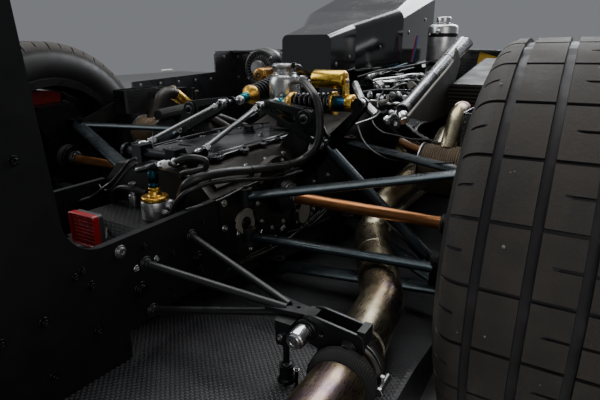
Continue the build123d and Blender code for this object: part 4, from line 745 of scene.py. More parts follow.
    def nut(self, at, toward, size=8, finish="steel", washer="silver", stud=True):
        """A hexagon nut of that corner radius, on its washer, with the stud's end."""
        self.rod(at, toward, 0, 0.22 * size, 1.35 * size, washer, 24, 0.06 * size)
        self.rod(at, toward, 0.2 * size, size, size, finish, 6, 0.12 * size)
        if stud:
            self.turned(at, toward, [(0.8 * size, 0.55 * size), (1.35 * size, 0.5 * size)],
                        finish, 14, 0.1 * size)

    def done(self, body, slot, *replaced, sharp=35):
        """Turn the mesh into a piece that rides on a body."""
        faces = self.mesh.faces
        bmesh.ops.recalc_face_normals(self.mesh, faces=faces)
        large = [face for face in faces if len(face.verts) > 4]
        bmesh.ops.triangulate(self.mesh, faces=large)
        data = bpy.data.meshes.new(self.name)
        self.mesh.to_mesh(data)
        self.mesh.free()
        for finish in self.finishes:
            data.materials.append(Finishes.get(finish))
        data.set_sharp_from_angle(angle=math.radians(sharp))
        piece = bpy.data.objects.new(self.name, data)
        bpy.context.scene.collection.objects.link(piece)
        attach(piece, body)
        if replaced:
            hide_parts(*replaced)
        return piece


def blend(start, end, share):
    """The place at a share of the way."""
    return Vector(start).lerp(Vector(end), share)


def along_line(start, end, distance):
    """The place that lies a distance from start towards end."""
    return Vector(start) + (Vector(end) - Vector(start)).normalized() * distance


TRACK_HALF = 812.0
TYRE_R = 355.0
TYRE_HALF = 177.5
RIM_SEAT_R = 228.0
RIM_FLANGE_R = 243.0
BEAD = 163.6
GROOVE_AT = (-120, -60, 0, 60, 120)
GROOVE_HALF = 6.5
GROOVE_WALL = 0.8
PITCHES = 26
PITCH = math.tau * TYRE_R / PITCHES
TREAD_SHIFT = 0.35  # how far round the first groove across lies, in pitches
HALF_SIPES = ((-161, -145), (-30, -6), (6, 30), (145, 161))
BAR_EVERY = 5  # pitches from one wear bar to the next


def arc_through(a, b, c, count):
    """Places on the arc through three places of a plane, the last left out."""
    ax, ay, bx, by, cx, cy = *a, *b, *c
    twist = 2 * (ax * (by - cy) + bx * (cy - ay) + cx * (ay - by))
    squares = [x * x + y * y for x, y in (a, b, c)]
    ux = (squares[0] * (by - cy) + squares[1] * (cy - ay) + squares[2] * (ay - by)) / twist
    uy = (squares[0] * (cx - bx) + squares[1] * (ax - cx) + squares[2] * (bx - ax)) / twist
    radius = math.hypot(ax - ux, ay - uy)
    begin = math.atan2(ay - uy, ax - ux)
    sweep = math.remainder(math.atan2(cy - uy, cx - ux) - begin, math.tau)
    turns = [begin + sweep * step / count for step in range(count)]
    return [(ux + radius * math.cos(turn), uy + radius * math.sin(turn)) for turn in turns]


def tyre_section():
    """The tyre's section as places (x from its middle, radius, depth that the grooves may reach)."""
    half = TYRE_HALF
    waist = ((BEAD, RIM_FLANGE_R + 4), (half, (RIM_FLANGE_R + TYRE_R) / 2), (half - 10, TYRE_R - 34))
    shoulder = ((half - 10, TYRE_R - 34), (half - 20, TYRE_R - 11), (half - 42, TYRE_R - 2))
    side = [(BEAD - 22, RIM_SEAT_R + 0.4), (BEAD, RIM_SEAT_R + 0.4)]
    side += arc_through(*waist, 12) + arc_through(*shoulder, 9)
    crown_r = (135.5 ** 2 + 2 ** 2) / (2 * 2)
    lines = set()
    for groove in GROOVE_AT:
        for step in (-GROOVE_HALF, -GROOVE_HALF + GROOVE_WALL, GROOVE_HALF - GROOVE_WALL, GROOVE_HALF):
            lines.add(groove + step)
    for low, high in zip((-135.5, *[g + GROOVE_HALF for g in GROOVE_AT]),
                         (*[g - GROOVE_HALF for g in GROOVE_AT], 135.5)):
        for share in (0, 0.33, 0.5, 0.67, 1):
            lines.add(round(low + (high - low) * share, 3))
    lines.update((-30, -29.4, 29.4, 30))
    crown = [(x, TYRE_R - crown_r + math.sqrt(crown_r ** 2 - x * x)) for x in sorted(lines)]
    left = [(-x, radius) for x, radius in side]
    inner = [(half - 24, RIM_FLANGE_R + 30), (half - 34, TYRE_R - 25), (-half + 34, TYRE_R - 25),
             (-half + 24, RIM_FLANGE_R + 30)]
    return left + crown + side[::-1] + inner


def turn_lines():
    """Places round the tyre: (angle, how deep a full groove is there, how deep a half one is)."""
    across = bpy.context.scene.rear_end_sizes.lateral_width * 1000
    wall = 0.7
    half_at = PITCH * 0.5
    half_wide = across * 0.8
    lines = [(0, 0, 0), (wall, 1, 0), (across - wall, 1, 0), (across, 0, 0), (PITCH * 0.2, 0, 0),
             (PITCH * 0.34, 0, 0), (half_at, 0, 0), (half_at + wall, 0, 1),
             (half_at + half_wide - wall, 0, 1), (half_at + half_wide, 0, 0), (PITCH * 0.7, 0, 0),
             (PITCH * 0.85, 0, 0)]
    made = []
    for pitch in range(PITCHES):
        for step, full, part in lines:
            made.append((math.tau * (pitch + TREAD_SHIFT + step / PITCH) / PITCHES, full, part))
    return made


def build_tyre(name, side):
    """One tyre with its grooves, the bars in them, and small stones picked up by the rubber."""
    sizes = bpy.context.scene.rear_end_sizes
    deep = sizes.tread_depth * 1000
    cross = sizes.lateral_depth * 1000
    tyre = Shape(f"tyre_tread_{name}", side)
    section = tyre_section()
    turns = turn_lines()
    rings = []
    lowered = []
    for index, (angle, full, part) in enumerate(turns):
        pitch, line = divmod(index, len(turns) // PITCHES)
        bar = pitch % BAR_EVERY == 2 and line in (4, 5)
        ring = []
        depths = []
        for x, radius in section:
            depth = 0
            on_crown = radius > TYRE_R - 30
            in_groove = any(abs(x - groove) < GROOVE_HALF - GROOVE_WALL + 0.05 for groove in GROOVE_AT)
            if in_groove and radius > TYRE_R - 5:
                depth = deep * (0.45 if bar else 1)
            elif on_crown and full:
                depth = cross * min(1, (radius - (TYRE_R - 30)) / 12)
            elif on_crown and part and any(low <= x <= high for low, high in HALF_SIPES):
                depth = cross * 0.8
            reach = radius - depth
            ring.append((TRACK_HALF + x, reach * math.cos(angle), TYRE_R + reach * math.sin(angle)))
            depths.append(depth)
        rings.append(ring)
        lowered.append(depths)

    def tone_at(index, step):
        """Sidewall, tread, or the groove's rubber, darkened in part with painted shade, where a corner of the
        face is lowered.
        """
        after = (step + 1) % len(section)
        if min(section[step][1], section[after][1]) < TYRE_R - 31:
            return "sidewall"
        corners = [lowered[row % len(rings)][line] for row in (index, index + 1) for line in (step, after)]
        return "groove" if max(corners) > 1 else "tread"

    tyre.loop(rings, tone_at)
    place = random.Random(11 + side)
    for _ in range(46):
        x = place.uniform(-150, 150)
        angle = math.radians(place.uniform(-55, 235))
        if any(abs(x - groove) < 9 for groove in GROOVE_AT):
            continue
        size = place.uniform(1.2, 2.6)
        reach = TYRE_R - 2.6 * (x / 150) ** 2 + size * 0.1
        at = (TRACK_HALF + x, reach * math.cos(angle), TYRE_R + reach * math.sin(angle))
        out = (0, math.cos(angle), math.sin(angle))
        lump = [(-size, 0.4 * size), (-0.2 * size, size), (0.45 * size, 0.7 * size), (0.6 * size, 0.2 * size)]
        tyre.turned(at, out, lump, "stone", 7, 0.1)
    tyre.done(f"wheel_{name}", "tyre", f"tyre_{name}", sharp=28)


class REAREND_OT_tyres(bpy.types.Operator):
    """Build both tyres with their tread."""

    bl_idname = "rear_end.tyres"
    bl_label = "Tyres"

    def execute(self, context):
        for name, side in SIDES:
            build_tyre(name, side)
        return {"FINISHED"}


DAMPER_AHEAD = 180.0
DAMPER_RIGHT = ((62, DAMPER_AHEAD, 549), (306, DAMPER_AHEAD, 560))
DAMPER_LEFT = ((-62, DAMPER_AHEAD, 549), (-52, 420, 598))
SPRING_FROM = 60.6
SPRING_TO = 161.4
SPRING_R = 27.0
SPRING_TURNS = 7.5
CLOSED_SHARE = 0.09  # the part of the wire that lies nearly flat at each end
CLOSED_RISE = 0.12


def build_damper(name, start, end, pin_axis):
    """A damper's eye, gold bell, collar, body and cap, turned about its own line."""
    damper = Shape(f"damper_{name}")
    toward = Vector(end) - Vector(start)
    span = toward.length
    front = [(8, 9.5), (10, 13.5), (20, 14.2), (22, 12.8), (24, 14.6), (30, 14.6), (33, 16)]
    damper.turned(start, toward, front, "teal", 32, 1.2)
    bell = [(28, 12), (30, 16), (33, 16.5), (37, 21), (42, 24), (47, 28.6), (58, 28.6), (60, 26.5), (60, 19)]
    damper.turned(start, toward, bell, "gold", 48)
    damper.rod(start, toward, 49.5, 51, 28.9, "steel", 48, 0.2)
    damper.rod(start, toward, 58, 165, 16, "damper_black", 32, 0.5)
    collar = [(161.8, 20), (162.4, 28), (165, 29.6), (171, 29.6), (172, 27), (174, 27),
              (175, 29.4), (178, 29.4)]
    damper.turned(start, toward, [(*step, "gold" if step[0] > 171 else "damper_black") for step in collar],
                  "damper_black", 48, 0.5)
    along, first, second = axes_of(toward)
    for c, s in turns_of(12):
        out = first * c + second * s
        damper.turned(Vector(start) + along * 168 + out * 27.5, out, [(0, 2.6), (2.4, 2.2)], "steel", 8, 0.3)
    body = [(176, 20.5), (208, 20.5), (209, 21.8), (214, 21.8, "bright_gold"), (227, 21.8, "bright_gold"),
            (229, 18, "gold")]
    damper.turned(start, toward, body, "damper", 40)
    damper.rod(start, toward, 220, span - 8, 8.5, "steel", 24, 0.5)
    for at, axis, long in ((start, AHEAD, 9.5), (end, pin_axis, 9)):
        way = Vector(axis)
        rod_end = [(-long, 7.4), (-long, 9), (-0.6 * long, 12.6), (0.6 * long, 12.6), (long, 9), (long, 7.4)]
        damper.turned(at, way, rod_end, "silver", 32, 0.5)
    return damper


def build_dampers():
    """Both dampers, each with its reservoir."""
    right = build_damper("right_dressed", *DAMPER_RIGHT, AHEAD)
    tank = [(174, 15, "gold"), (176, 20, "gold"), (181, 22.6, "bright_gold"), (258, 22.6, "bright_gold"),
            (262, 21.5, "bright_gold"), (267, 17, "gold")]
    right.turned((0, DAMPER_AHEAD, 616), OUT, tank, "bright_gold", 48, 1.4)
    right.turned((0, DAMPER_AHEAD, 616), INWARD, [(-176, 9), (-169, 9), (-168, 6)], "damper_black", 20)
    right.nut((176, DAMPER_AHEAD, 616), INWARD, 6.5, "silver", "gold", False)
    strap = [(-13, 562), (13, 562), (13, 618), (-13, 618)]
    right.plate(rounded(strap, 6), lambda a, b, c: (c, DAMPER_AHEAD + a, b), 262, 269.5, "bright_gold")
    for height in (572, 612):
        right.bolt((269, DAMPER_AHEAD, height), OUT, 3.6)
    right.done(ROOT, "damper", "damper_right")

    left = build_damper("left_dressed", *DAMPER_LEFT, OUT)
    rear = Vector((-104, 334, 607))
    run = Vector((-102, 402, 610)) - rear
    bronze = [(0, 14), (1, 19), (5, 22.6), (60, 22.6), (65, 20), (68, 14)]
    left.turned(rear, run, bronze, "bronze", 48, 1.4)
    left.turned(rear, -run, [(-1, 8.4), (1.4, 8.4), (1.4, 5), (-0.4, 4.6), (-0.4, 0)], "dark_steel", 24, 0.4)
    left.rod(rear, run, 9, 11, 22.9, "bright_gold", 48, 0.3)
    left.tube(smooth_run([(-98, 366, 606), (-84, 366, 600), (-68, 366, 592), (-54, 366, 586)]),
              7.8, "bronze", 16)
    left.done(ROOT, "damper", "damper_left")


def build_springs():
    """The coil springs, with closed ends."""
    wire = bpy.context.scene.rear_end_sizes.spring_wire * 500
    springs = Shape("coil_springs")
    for start, end in (DAMPER_RIGHT, DAMPER_LEFT):
        along, first, second = axes_of(Vector(end) - Vector(start))
        low = SPRING_FROM + wire
        high = SPRING_TO - wire
        steps = int(SPRING_TURNS * 26)
        line = []
        for step in range(steps + 1):
            share = step / steps
            turn = math.tau * SPRING_TURNS * share
            rise = min(1, max(0, (share - CLOSED_SHARE) / (1 - 2 * CLOSED_SHARE)))
            rise = share * CLOSED_RISE + rise * (1 - CLOSED_RISE)
            out = first * math.cos(turn) + second * math.sin(turn)
            line.append(Vector(start) + along * (low + (high - low) * rise) + out * (SPRING_R - wire))
        springs.tube(line, wire, "spring", 12)
    springs.done(ROOT, "springs", "damper_springs")


class REAREND_OT_dampers(bpy.types.Operator):
    """Build the dampers with their reservoirs, and the coil springs."""

    bl_idname = "rear_end.dampers"
    bl_label = "Dampers and springs"

    def execute(self, context):
        build_dampers()
        build_springs()
        return {"FINISHED"}


def build_canister():
    """The silver canister with its gold cap, fitting and hose tee."""
    shape = Shape("catch_canister_dressed")
    x, ahead = 50, -267
    foot = (x, ahead, 357.2)
    can = [(0, 28), (1.5, 29.3), (38, 29.3), (39.4, 28.6), (39.4, 27.2), (40.2, 27.2), (40.2, 27.4, "gold"),
           (46.4, 27.4, "gold"), (48, 25.6, "gold"), (48.6, 17, "gold")]
    shape.turned(foot, UP, can, "brushed", 64, 0.5)
    shape.rod(foot, UP, 38.6, 40.2, 28.9, "damper_black", 64, 0.3)
    neck = [(47, 15), (49.5, 15), (50.5, 12.6), (58, 12.6), (59, 11)]
    shape.turned(foot, UP, neck, "gold", 40, 0.5)
    shape.turned(foot, UP, [(57, 12.8), (64, 12.8), (66, 11.4)], "gold", 6)
    stem = [(65, 9.6), (67, 10.9), (72, 10.9), (73, 9.4), (79, 9.4), (80, 10.6), (96, 10.6),
            (98, 9.2), (104, 8.6)]
    shape.turned(foot, UP, stem, "teal_dark")
    shape.rod(foot, UP, 67.5, 71.5, 11.3, "teal_dark", 6)
    low = Vector((4, ahead, 452))
    high = Vector((108, ahead, 480))
    arm = [(0, 5.6, "link_grey"), (2, 6.8, "link_grey"), (12, 6.8, "link_grey"), (13, 7.4), (30, 7.4),
           (31, 8.8), (44, 9.6), (62, 9.6), (64, 8), (72, 8), (73, 9.6, "silver"), (85, 9.6, "silver"),
           (86, 7.6, "white"), (98, 7.6, "white"), (99, 5.6, "white"), (107, 5.4, "rubber")]
    shape.turned(low, high - low, arm, "damper_black", 28)
    shape.rod(along_line(low, high, 73.5), high - low, 0, 11, 10.4, "silver", 6, 1)
    for c, s in turns_of(40):
        shape.turned((x + 27.1 * c, ahead + 27.1 * s, 401), (c, s, 0), [(0, 0.9), (0.5, 0.8)], "gold", 4, 0.1)
    for turn, height, size in ((20, 387, 12.2), (-8, 374, 7)):
        out = Vector((math.cos(math.radians(turn)), math.sin(math.radians(turn)), 0))
        root = Vector((x, ahead, height)) + out * 27
        shape.turned(root, out, [(0, size), (6, size), (7, size * 0.8), (9, size * 0.8)], "silver", 6)
    shape.done(ROOT, "alloy", "catch_canister")


def build_pot():
    """The silver fluid pot with its clamped cap and side port."""
    pot = Shape("fluid_pot_dressed")
    x, ahead, base = foot = (45, 250, 464.2)
    stand = [(0, 37.5), (8.5, 37.5), (10, 34), (10, 25.5), (80, 25.5)]
    pot.turned(foot, UP, stand, "cover_black", 40, 1)
    jar = [(83, 26), (85, 38), (92, 44), (112, 44.6), (128, 44.6), (140, 43), (150, 38.5), (154, 33),
           (157, 31), (174, 31), (175, 33.4)]
    pot.turned(foot, UP, jar, "pot_silver", 64, 1.6)
    lid = [(174, 35.4), (176, 36), (180.5, 36), (182.5, 34.6), (183, 28), (185, 26), (185.6, 10)]
    pot.turned(foot, UP, lid, "pot_silver", 64, 0.6)
    pot.rod(foot, UP, 158.5, 161, 33.8, "silver", 48, 0.4)
    for c, s in turns_of(12):
        pot.turned((x + 30 * c, ahead + 30 * s, base + 183), UP, [(0, 2.4), (1.8, 2)], "steel", 10, 0.3)
    lever = smooth_run([(76, 236, 644), (86, 240, 646), (92, 252, 643), (90, 268, 636)], 6)
    pot.tube(lever, 3, "steel", 10)
    pot.rod((80, 238, 638), UP, 0, 14, 6, "damper_black", 16)
    port = (x, ahead, 606)
    pot.turned(port, OUT, [(38, 10.5), (46, 10.5), (47, 12.9), (53.6, 12.9)], "silver", 6, 1)
    pot.rod(port, OUT, 40, 53.8, 10.8, "silver", 28, 0.6)
    pot.done(ROOT, "alloy", "fluid_pot")


def build_tank():
    """The silver header tank with its cap, bands and strut."""
    tank = Shape("header_tank_dressed")
    x, ahead, base = foot = (310, 900, 584)
    body = [(0, 40), (3, 47), (10, 51.2), (60, 51.6), (172, 51.6), (178, 49), (183, 38), (184, 26.5)]
    tank.turned(foot, UP, body, "brushed", 64, 2)
    tank.turned(foot, UP, [(182, 22), (188, 22), (189, 25.6), (205, 25.6), (207.5, 23)], "silver", 12, 1)
    for low in (42, 140):
        tank.rod(foot, UP, low, low + 13, 52, "damper_black", 64, 0.5)
        tank.bolt((x - 36, ahead - 40, base + low + 6.5), (-0.65, -0.75, 0), 3.4)
    tank.tube([(x, ahead, 604), (251, ahead, 545)], 12.8, "silver", 24)
    tank.turned((x, 848.5, 740), BACK, [(0, 9), (12, 9), (13, 7), (24, 7)], "silver", 20, 0.6)
    tank.done(ROOT, "alloy", "header_tank")


class REAREND_OT_vessels(bpy.types.Operator):
    """Build the catch canister, the fluid pot and the header tank."""

    bl_idname = "rear_end.vessels"
    bl_label = "Canister, pot and tank"

    def execute(self, context):
        build_canister()
        build_pot()
        build_tank()
        return {"FINISHED"}


def build_alternator():
    """A drum with slats, a finned end, its hub and its bracket."""
    shape = Shape("alternator_dressed")
    middle = Vector((-170, 480, 624))
    axis = Vector(BACK)
    drum = [(-51, 48), (-49, 60), (-20, 62.5), (-18, 63.6), (10, 63.6), (12, 62.5), (38, 62), (44, 58),
            (46, 52), (44, 46), (30, 43)]
    shape.turned(middle, axis, drum, "alternator_black", 64, 1.2)
    shape.rod(middle, axis, -12, 4, 63.9, "steel", 64, 0.4)
    shape.turned(middle, axis, [(28, 42), (30, 42), (31, 20), (44, 19), (58, 17), (61, 12)], "silver", 48, 1)
    hub = [(44, 24), (47, 24), (48, 20), (52, 20), (53, 24), (56, 24), (57, 20), (60, 20),
           (61.5, 23), (61.8, 8)]
    shape.turned(middle, axis, hub, "steel", 40, 0.5)
    for c, s in turns_of(28):
        out = Vector((c, 0, s))
        low = middle + axis * 33 + out * 22
        high = middle + axis * 45 + out * 50
        width = out.cross(axis) * 1.3
        lift = axis * 10
        near = [low - width, low + width, low + width + lift, low - width + lift]
        far = [high - width, high + width, high + width + lift * 0.1, high - width + lift * 0.1]
        shape.block([near, far], "alternator_grey")
    for c, s in turns_of(24):
        start = middle - axis * 46 + Vector((c, 0, s)) * 60.5
        shape.turned(start, axis, [(0, 1.6), (26, 1.9), (30, 1.4)], "alternator_grey", 6, 0.3)
    for c, s in turns_of(4, 0.4):
        shape.bolt(middle + axis * 42 + Vector((c, 0, s)) * 55, axis, 3.6)
    bracket = [(-192, 501), (-136, 501), (-128, 588), (-150, 640), (-190, 640), (-212, 588)]
    shape.plate(rounded(bracket, 12), facing_back(530), 2, 29.6, "casing")
    for x in (-180, -148):
        shape.bolt((x, 532.4, 516), BACK, 4)
    shape.done(ROOT, "alloy", "alternator")


class REAREND_OT_alternator(bpy.types.Operator):
    """Build the alternator with its finned end, pulley and stator bands."""

    bl_idname = "rear_end.alternator"
    bl_label = "Alternator"

    def execute(self, context):
        build_alternator()
        return {"FINISHED"}


def build_lamp():
    """The lamp, narrowed a little across and in height, on its foot."""
    lamp = Shape("rain_lamp_dressed")
    rear = -412

    def place(a, b, c):
        """Across, up and rearward from the lamp's lens."""
        return (a * 0.72 + 9, rear - c, 370 + b * 0.8)

    lamp.plate(rounded(oblong(48, 38), 9), place, -23.6, -9, "lamp_shell", 1.6)
    hood = rounded(oblong(49.6, 39.6), 9)
    mouth = rounded(oblong(44.5, 34.5), 6)
    levels = ((hood, -12), (hood, -1.4), (inset(hood, 1.4), 0), (inset(mouth, -1.2), 0),
              (mouth, -1.2), (mouth, -6))
    rows = lamp.skin([[place(a, b, c) for a, b in shape] for shape, c in levels], "lamp_frame")
    lamp.face(rows[0][::-1], "lamp_frame")
    lamp.face(rows[-1], "lens")
    for column in range(9):
        for row in range(7):
            at = place(-37.6 + column * 9.4, -27.9 + row * 9.3, -6.2)
            lamp.turned(at, BACK, [(0, 3.9), (1.2, 3.6), (2.6, 2.4), (3.1, 1)], "lens", 12, 0.2)
    for height in range(-30, 31, 10):
        fin = [(a, height + b) for a, b in oblong(38, 1.2)]
        lamp.plate(fin, place, -23.9, -23.2, "lamp_shell", 0.2)
    for a, b in oblong(46, 36):
        lamp.rod(place(a, b, -0.6), BACK, 0, 0.9, 1.7, "steel", 12, 0.2)
    foot = rounded(oblong(29.6, 12), 3)
    lamp.plate(foot, lambda a, b, c: (a, -400 + b, 322.2 + c), 0, 6.5, "lamp_shell")
    lamp.done(ROOT, "lamp", "rain_lamp")


class REAREND_OT_lamp(bpy.types.Operator):
    """Build the rain lamp: red frame, rows of small lenses and finned housing."""

    bl_idname = "rear_end.lamp"
    bl_label = "Rain lamp"

    def execute(self, context):
        build_lamp()
        return {"FINISHED"}


def build_cooling_ring(name, side):
    """A bolted dish inside the rim."""
    ring = Shape(f"cooling_ring_{name}", side)
    section = [(826, 74), (828, 74), (836, 150), (832, 204), (828, 206), (828, 204), (832, 150),
               (824, 76), (824, 74)]
    rings = [[(x, radius * c, TYRE_R + radius * s) for c, s in turns_of(72)] for x, radius in section]
    ring.loop(rings, lambda step, turn: "damper_black")
    for c, s in turns_of(12, 0.5):
        ring.bolt((834.6, 176 * c, TYRE_R + 176 * s), OUT, 4, "dark_steel", "steel")
    ring.done(f"wheel_{name}", "rim")


class REAREND_OT_cooling(bpy.types.Operator):
    """Build the cooling rings inside the rims."""

    bl_idname = "rear_end.cooling"
    bl_label = "Cooling rings"

    def execute(self, context):
        for name, side in SIDES:
            build_cooling_ring(name, side)
        return {"FINISHED"}


def build_driveshaft(name, side):
    """A shaft with a bolted inner joint, two boots and an outer joint."""
    start = (0, 0, TYRE_R)
    axis = OUT
    shaft = Shape(f"driveshaft_{name}_dressed", side)
    can = [(124, 29.6), (180, 29.6), (180.4, 42), (182, 45), (190, 45), (191, 41), (203, 40), (205, 38)]
    shaft.turned(start, axis, can, "dark_steel", 56)
    for c, s in turns_of(8):
        shaft.bolt((190.2, 37 * c, TYRE_R + 37 * s), axis, 2.6)
    boot = [(203, 36), (206, 37), (209, 31), (212, 32.5), (215, 26), (218, 27), (221, 20),
            (226, 16.5), (234, 16)]
    shaft.turned(start, axis, boot, "rubber", 48, 1)
    shaft.rod(start, axis, 227, 232, 17.6, "silver", 40, 0.5)
    shaft.turned(start, axis, [(230, 14.6), (238, 14.6), (248, 13.2), (560, 13.2), (568, 14.8), (572, 14.8)],
                 "copper", 40, 1.5)
    outer = [(568, 17.5), (572, 21), (576, 19), (580, 25), (584, 23), (588, 29.4), (596, 29.4)]
    shaft.turned(start, axis, outer, "rubber", 44, 1)
    shaft.turned(start, axis, [(585, 40), (587, 41.6), (595, 41.6)], "dark_steel", 56)
    shaft.done(f"wheel_{name}", "shaft", f"driveshaft_{name}")


class REAREND_OT_driveshafts(bpy.types.Operator):
    """Build the driveshafts with their joints and boots."""

    bl_idname = "rear_end.driveshafts"
    bl_label = "Driveshafts"

    def execute(self, context):
        for name, side in SIDES:
            build_driveshaft(name, side)
        return {"FINISHED"}


ROCKER_TIP = (62, 549)
ROCKER_PIVOT = (188, 523)
ROCKER_PUSH = (234, 461)
LINK_LOW = (85, -165, 478)
LINK_HIGH = (62, 95, 549)


def add_rocker(rocker):
    """Two pierced plates joined by a top web, with pins, nuts and the pivot's boss."""
    corners = circle_at(*ROCKER_TIP, 13.5) + circle_at(*ROCKER_PIVOT, 23.5) + circle_at(*ROCKER_PUSH, 13.5)
    outline = [corners[index] for index in convex_hull_2d([Vector(corner) for corner in corners])]
    pockets = [rounded([(84, 537), (148, 506), (160, 513), (158, 531), (92, 546)], 7),
               rounded([(180, 492), (212, 475), (218, 482), (202, 496), (188, 497)], 4)]
    for low in (110.2, 140.2):
        rocker.pierced(outline, pockets, facing_back(0), low, low + 5.6, "rocker_black")
    for start, end, run, rise in (((70, 557), (176, 543.5), 0, 5), ((104, 522), (206, 466), 4, 4)):
        web = [[(x, 116, z), (x, 140, z), (x + run, 140, z + rise), (x + run, 116, z + rise)] for x,
               z in (start, end)]
        rocker.block(web, "rocker_black")
    x, height = ROCKER_PIVOT
    boss = [(-5, 9.8), (-5, 13), (-4.6, 20.5), (0.2, 22), (35.8, 22), (40.6, 20.5), (41, 13), (41, 9.8)]
    rocker.turned((x, 110, height), AHEAD, boss, "rocker_black", 44, 0.6)
    for ahead, way in ((104.6, -1), (151.4, 1)):
        rocker.nut((x, ahead, height), (0, way, 0), 8.5, "dark_steel", "steel")
    x, height = ROCKER_PUSH
    rocker.rod((x, 106, height), AHEAD, 0, 44, 5.8, "steel", 20)
    rocker.bolt((x, 110, height), BACK, 6)
    rocker.nut((x, 146, height), AHEAD, 7)
    x, height = ROCKER_TIP
    rocker.turned((x, 79.2, height), AHEAD, [(0, 4), (3, 5.8), (114, 5.8), (116.6, 4)], "steel", 20)
    rocker.rod((x, 82, height), AHEAD, 0, 5, 9.6, "dark_steel", 6)
    rocker.turned((x, 102.6, height), AHEAD, [(0, 8.6), (7.4, 10.4)], "silver", 24, 0.6)


def add_link(link):
    """One link: a rod with hexagon ends, lock nuts and two rod ends."""
    toward = Vector(LINK_HIGH) - Vector(LINK_LOW)
    span = toward.length
    link.turned(LINK_LOW, toward, [(26, 5), (30, 6.3), (span - 30, 6.3), (span - 26, 5)],
                "link_grey", 24, 1.5)
    link.rod(LINK_LOW, toward, 8, span - 8, 4.2, "steel", 16)
    for low in (19, span - 25):
        link.rod(LINK_LOW, toward, low, low + 6, 7.8, "silver", 6)
    for low in (27, span - 36):
        link.rod(LINK_LOW, toward, low, low + 9, 7.2, "silver", 6)
    for at, way in ((LINK_LOW, Vector(OUT)), (LINK_HIGH, Vector(AHEAD))):
        eye = [(-6.8, 5.6), (-6.8, 7), (-4.6, 10.6), (4.6, 10.6), (6.8, 7), (6.8, 5.6)]
        link.turned(at, way, eye, "silver", 28, 0.5)
        link.rod(at, way, -8.2, 8.2, 4.8, "steel", 20, 0.4)


class REAREND_OT_rockers(bpy.types.Operator):
    """Build the rockers and the roll bar's links."""

    bl_idname = "rear_end.rockers"
    bl_label = "Rockers and links"

    def execute(self, context):
        rockers = Shape("rockers_dressed")
        on_both_sides(rockers, add_rocker)
        rockers.done(ROOT, "steel", "rockers", sharp=30)
        links = Shape("roll_links_dressed")
        on_both_sides(links, add_link)
        links.done(ROOT, "steel", "roll_links")
        return {"FINISHED"}


LID_BOLTS = ((97, -118), (103, -28), (98, 58), (95, 132), (96, 218), (62, 285), (0, 291), (44, -140))
LID_MIDDLE = (0, 75)
CASE_SIDE = 158.2


def build_lid():
    """The lid: a plate with a lobe at each bolt, a raised field, ribs and a threaded plug."""
    bolts = sorted({(side * x, ahead) for x, ahead in LID_BOLTS for _, side in SIDES})
    outline = []
    for turn in turns_of(240):
        way = Vector(turn)
        reach = min(94 / max(abs(way.x), 1e-6), 216 / max(abs(way.y), 1e-6))
        reach = min(reach, (94 * abs(way.x) + 216 * abs(way.y)) * 0.98)
        for x, ahead in bolts:
            off = Vector((x - LID_MIDDLE[0], ahead - LID_MIDDLE[1]))
            along = off.dot(way)
            inside = 11.5 ** 2 - (off.length_squared - along ** 2)
            if along > 0 and inside > 0:
                reach = max(reach, along + math.sqrt(inside))
        outline.append((LID_MIDDLE[0] + way.x * reach, LID_MIDDLE[1] + way.y * reach))
    lid = Shape("gearbox_lid_dressed")
    lid.plate(outline, lying(455), 0.3, 8.2, "lid", 1)
    field = rounded([(-74, -112), (74, -112), (80, 150), (60, 250), (-60, 250), (-80, 150)], 24)
    lid.plate(field, lying(462), 0, 3, "lid", 1.6)
    for rib in ([(-62, -78), (-22, -74), (-22, -66), (-62, -70)],
                [(20, -96), (58, -92), (58, -84), (20, -88)]):
        lid.plate(rounded(rib, 3), lying(464), 0, 3.4, "cover_black", 0.8)
    for x, ahead in bolts:
        lid.bolt((x, ahead, 463), UP, 4.4, "dark_steel", "steel")
    plug = [(0, 19), (3, 19), (4, 15.5), (9, 15.5), (10, 13), (20, 12.4), (21, 9)]
    lid.turned((-12, 148, 464.4), UP, plug, "dark_steel", 36, 0.7)
    for step in range(4):
        ring = [(11 + step * 2.2, 13.3), (11.9 + step * 2.2, 13.3)]
        lid.turned((-12, 148, 464.4), UP, ring, "dark_steel", 36, 0.3)
    lid.turned((46, 122, 464.4), UP, [(0, 9), (5, 9), (6, 6.5), (12, 6.5)], "silver", 6, 0.7)
    lid.turned((-52, 74, 464.4), UP, [(0, 8), (4, 8), (5, 5.5), (10, 5.5)], "steel", 6, 0.7)
    lid.done(ROOT, "lid", "gearbox_cover", sharp=30)


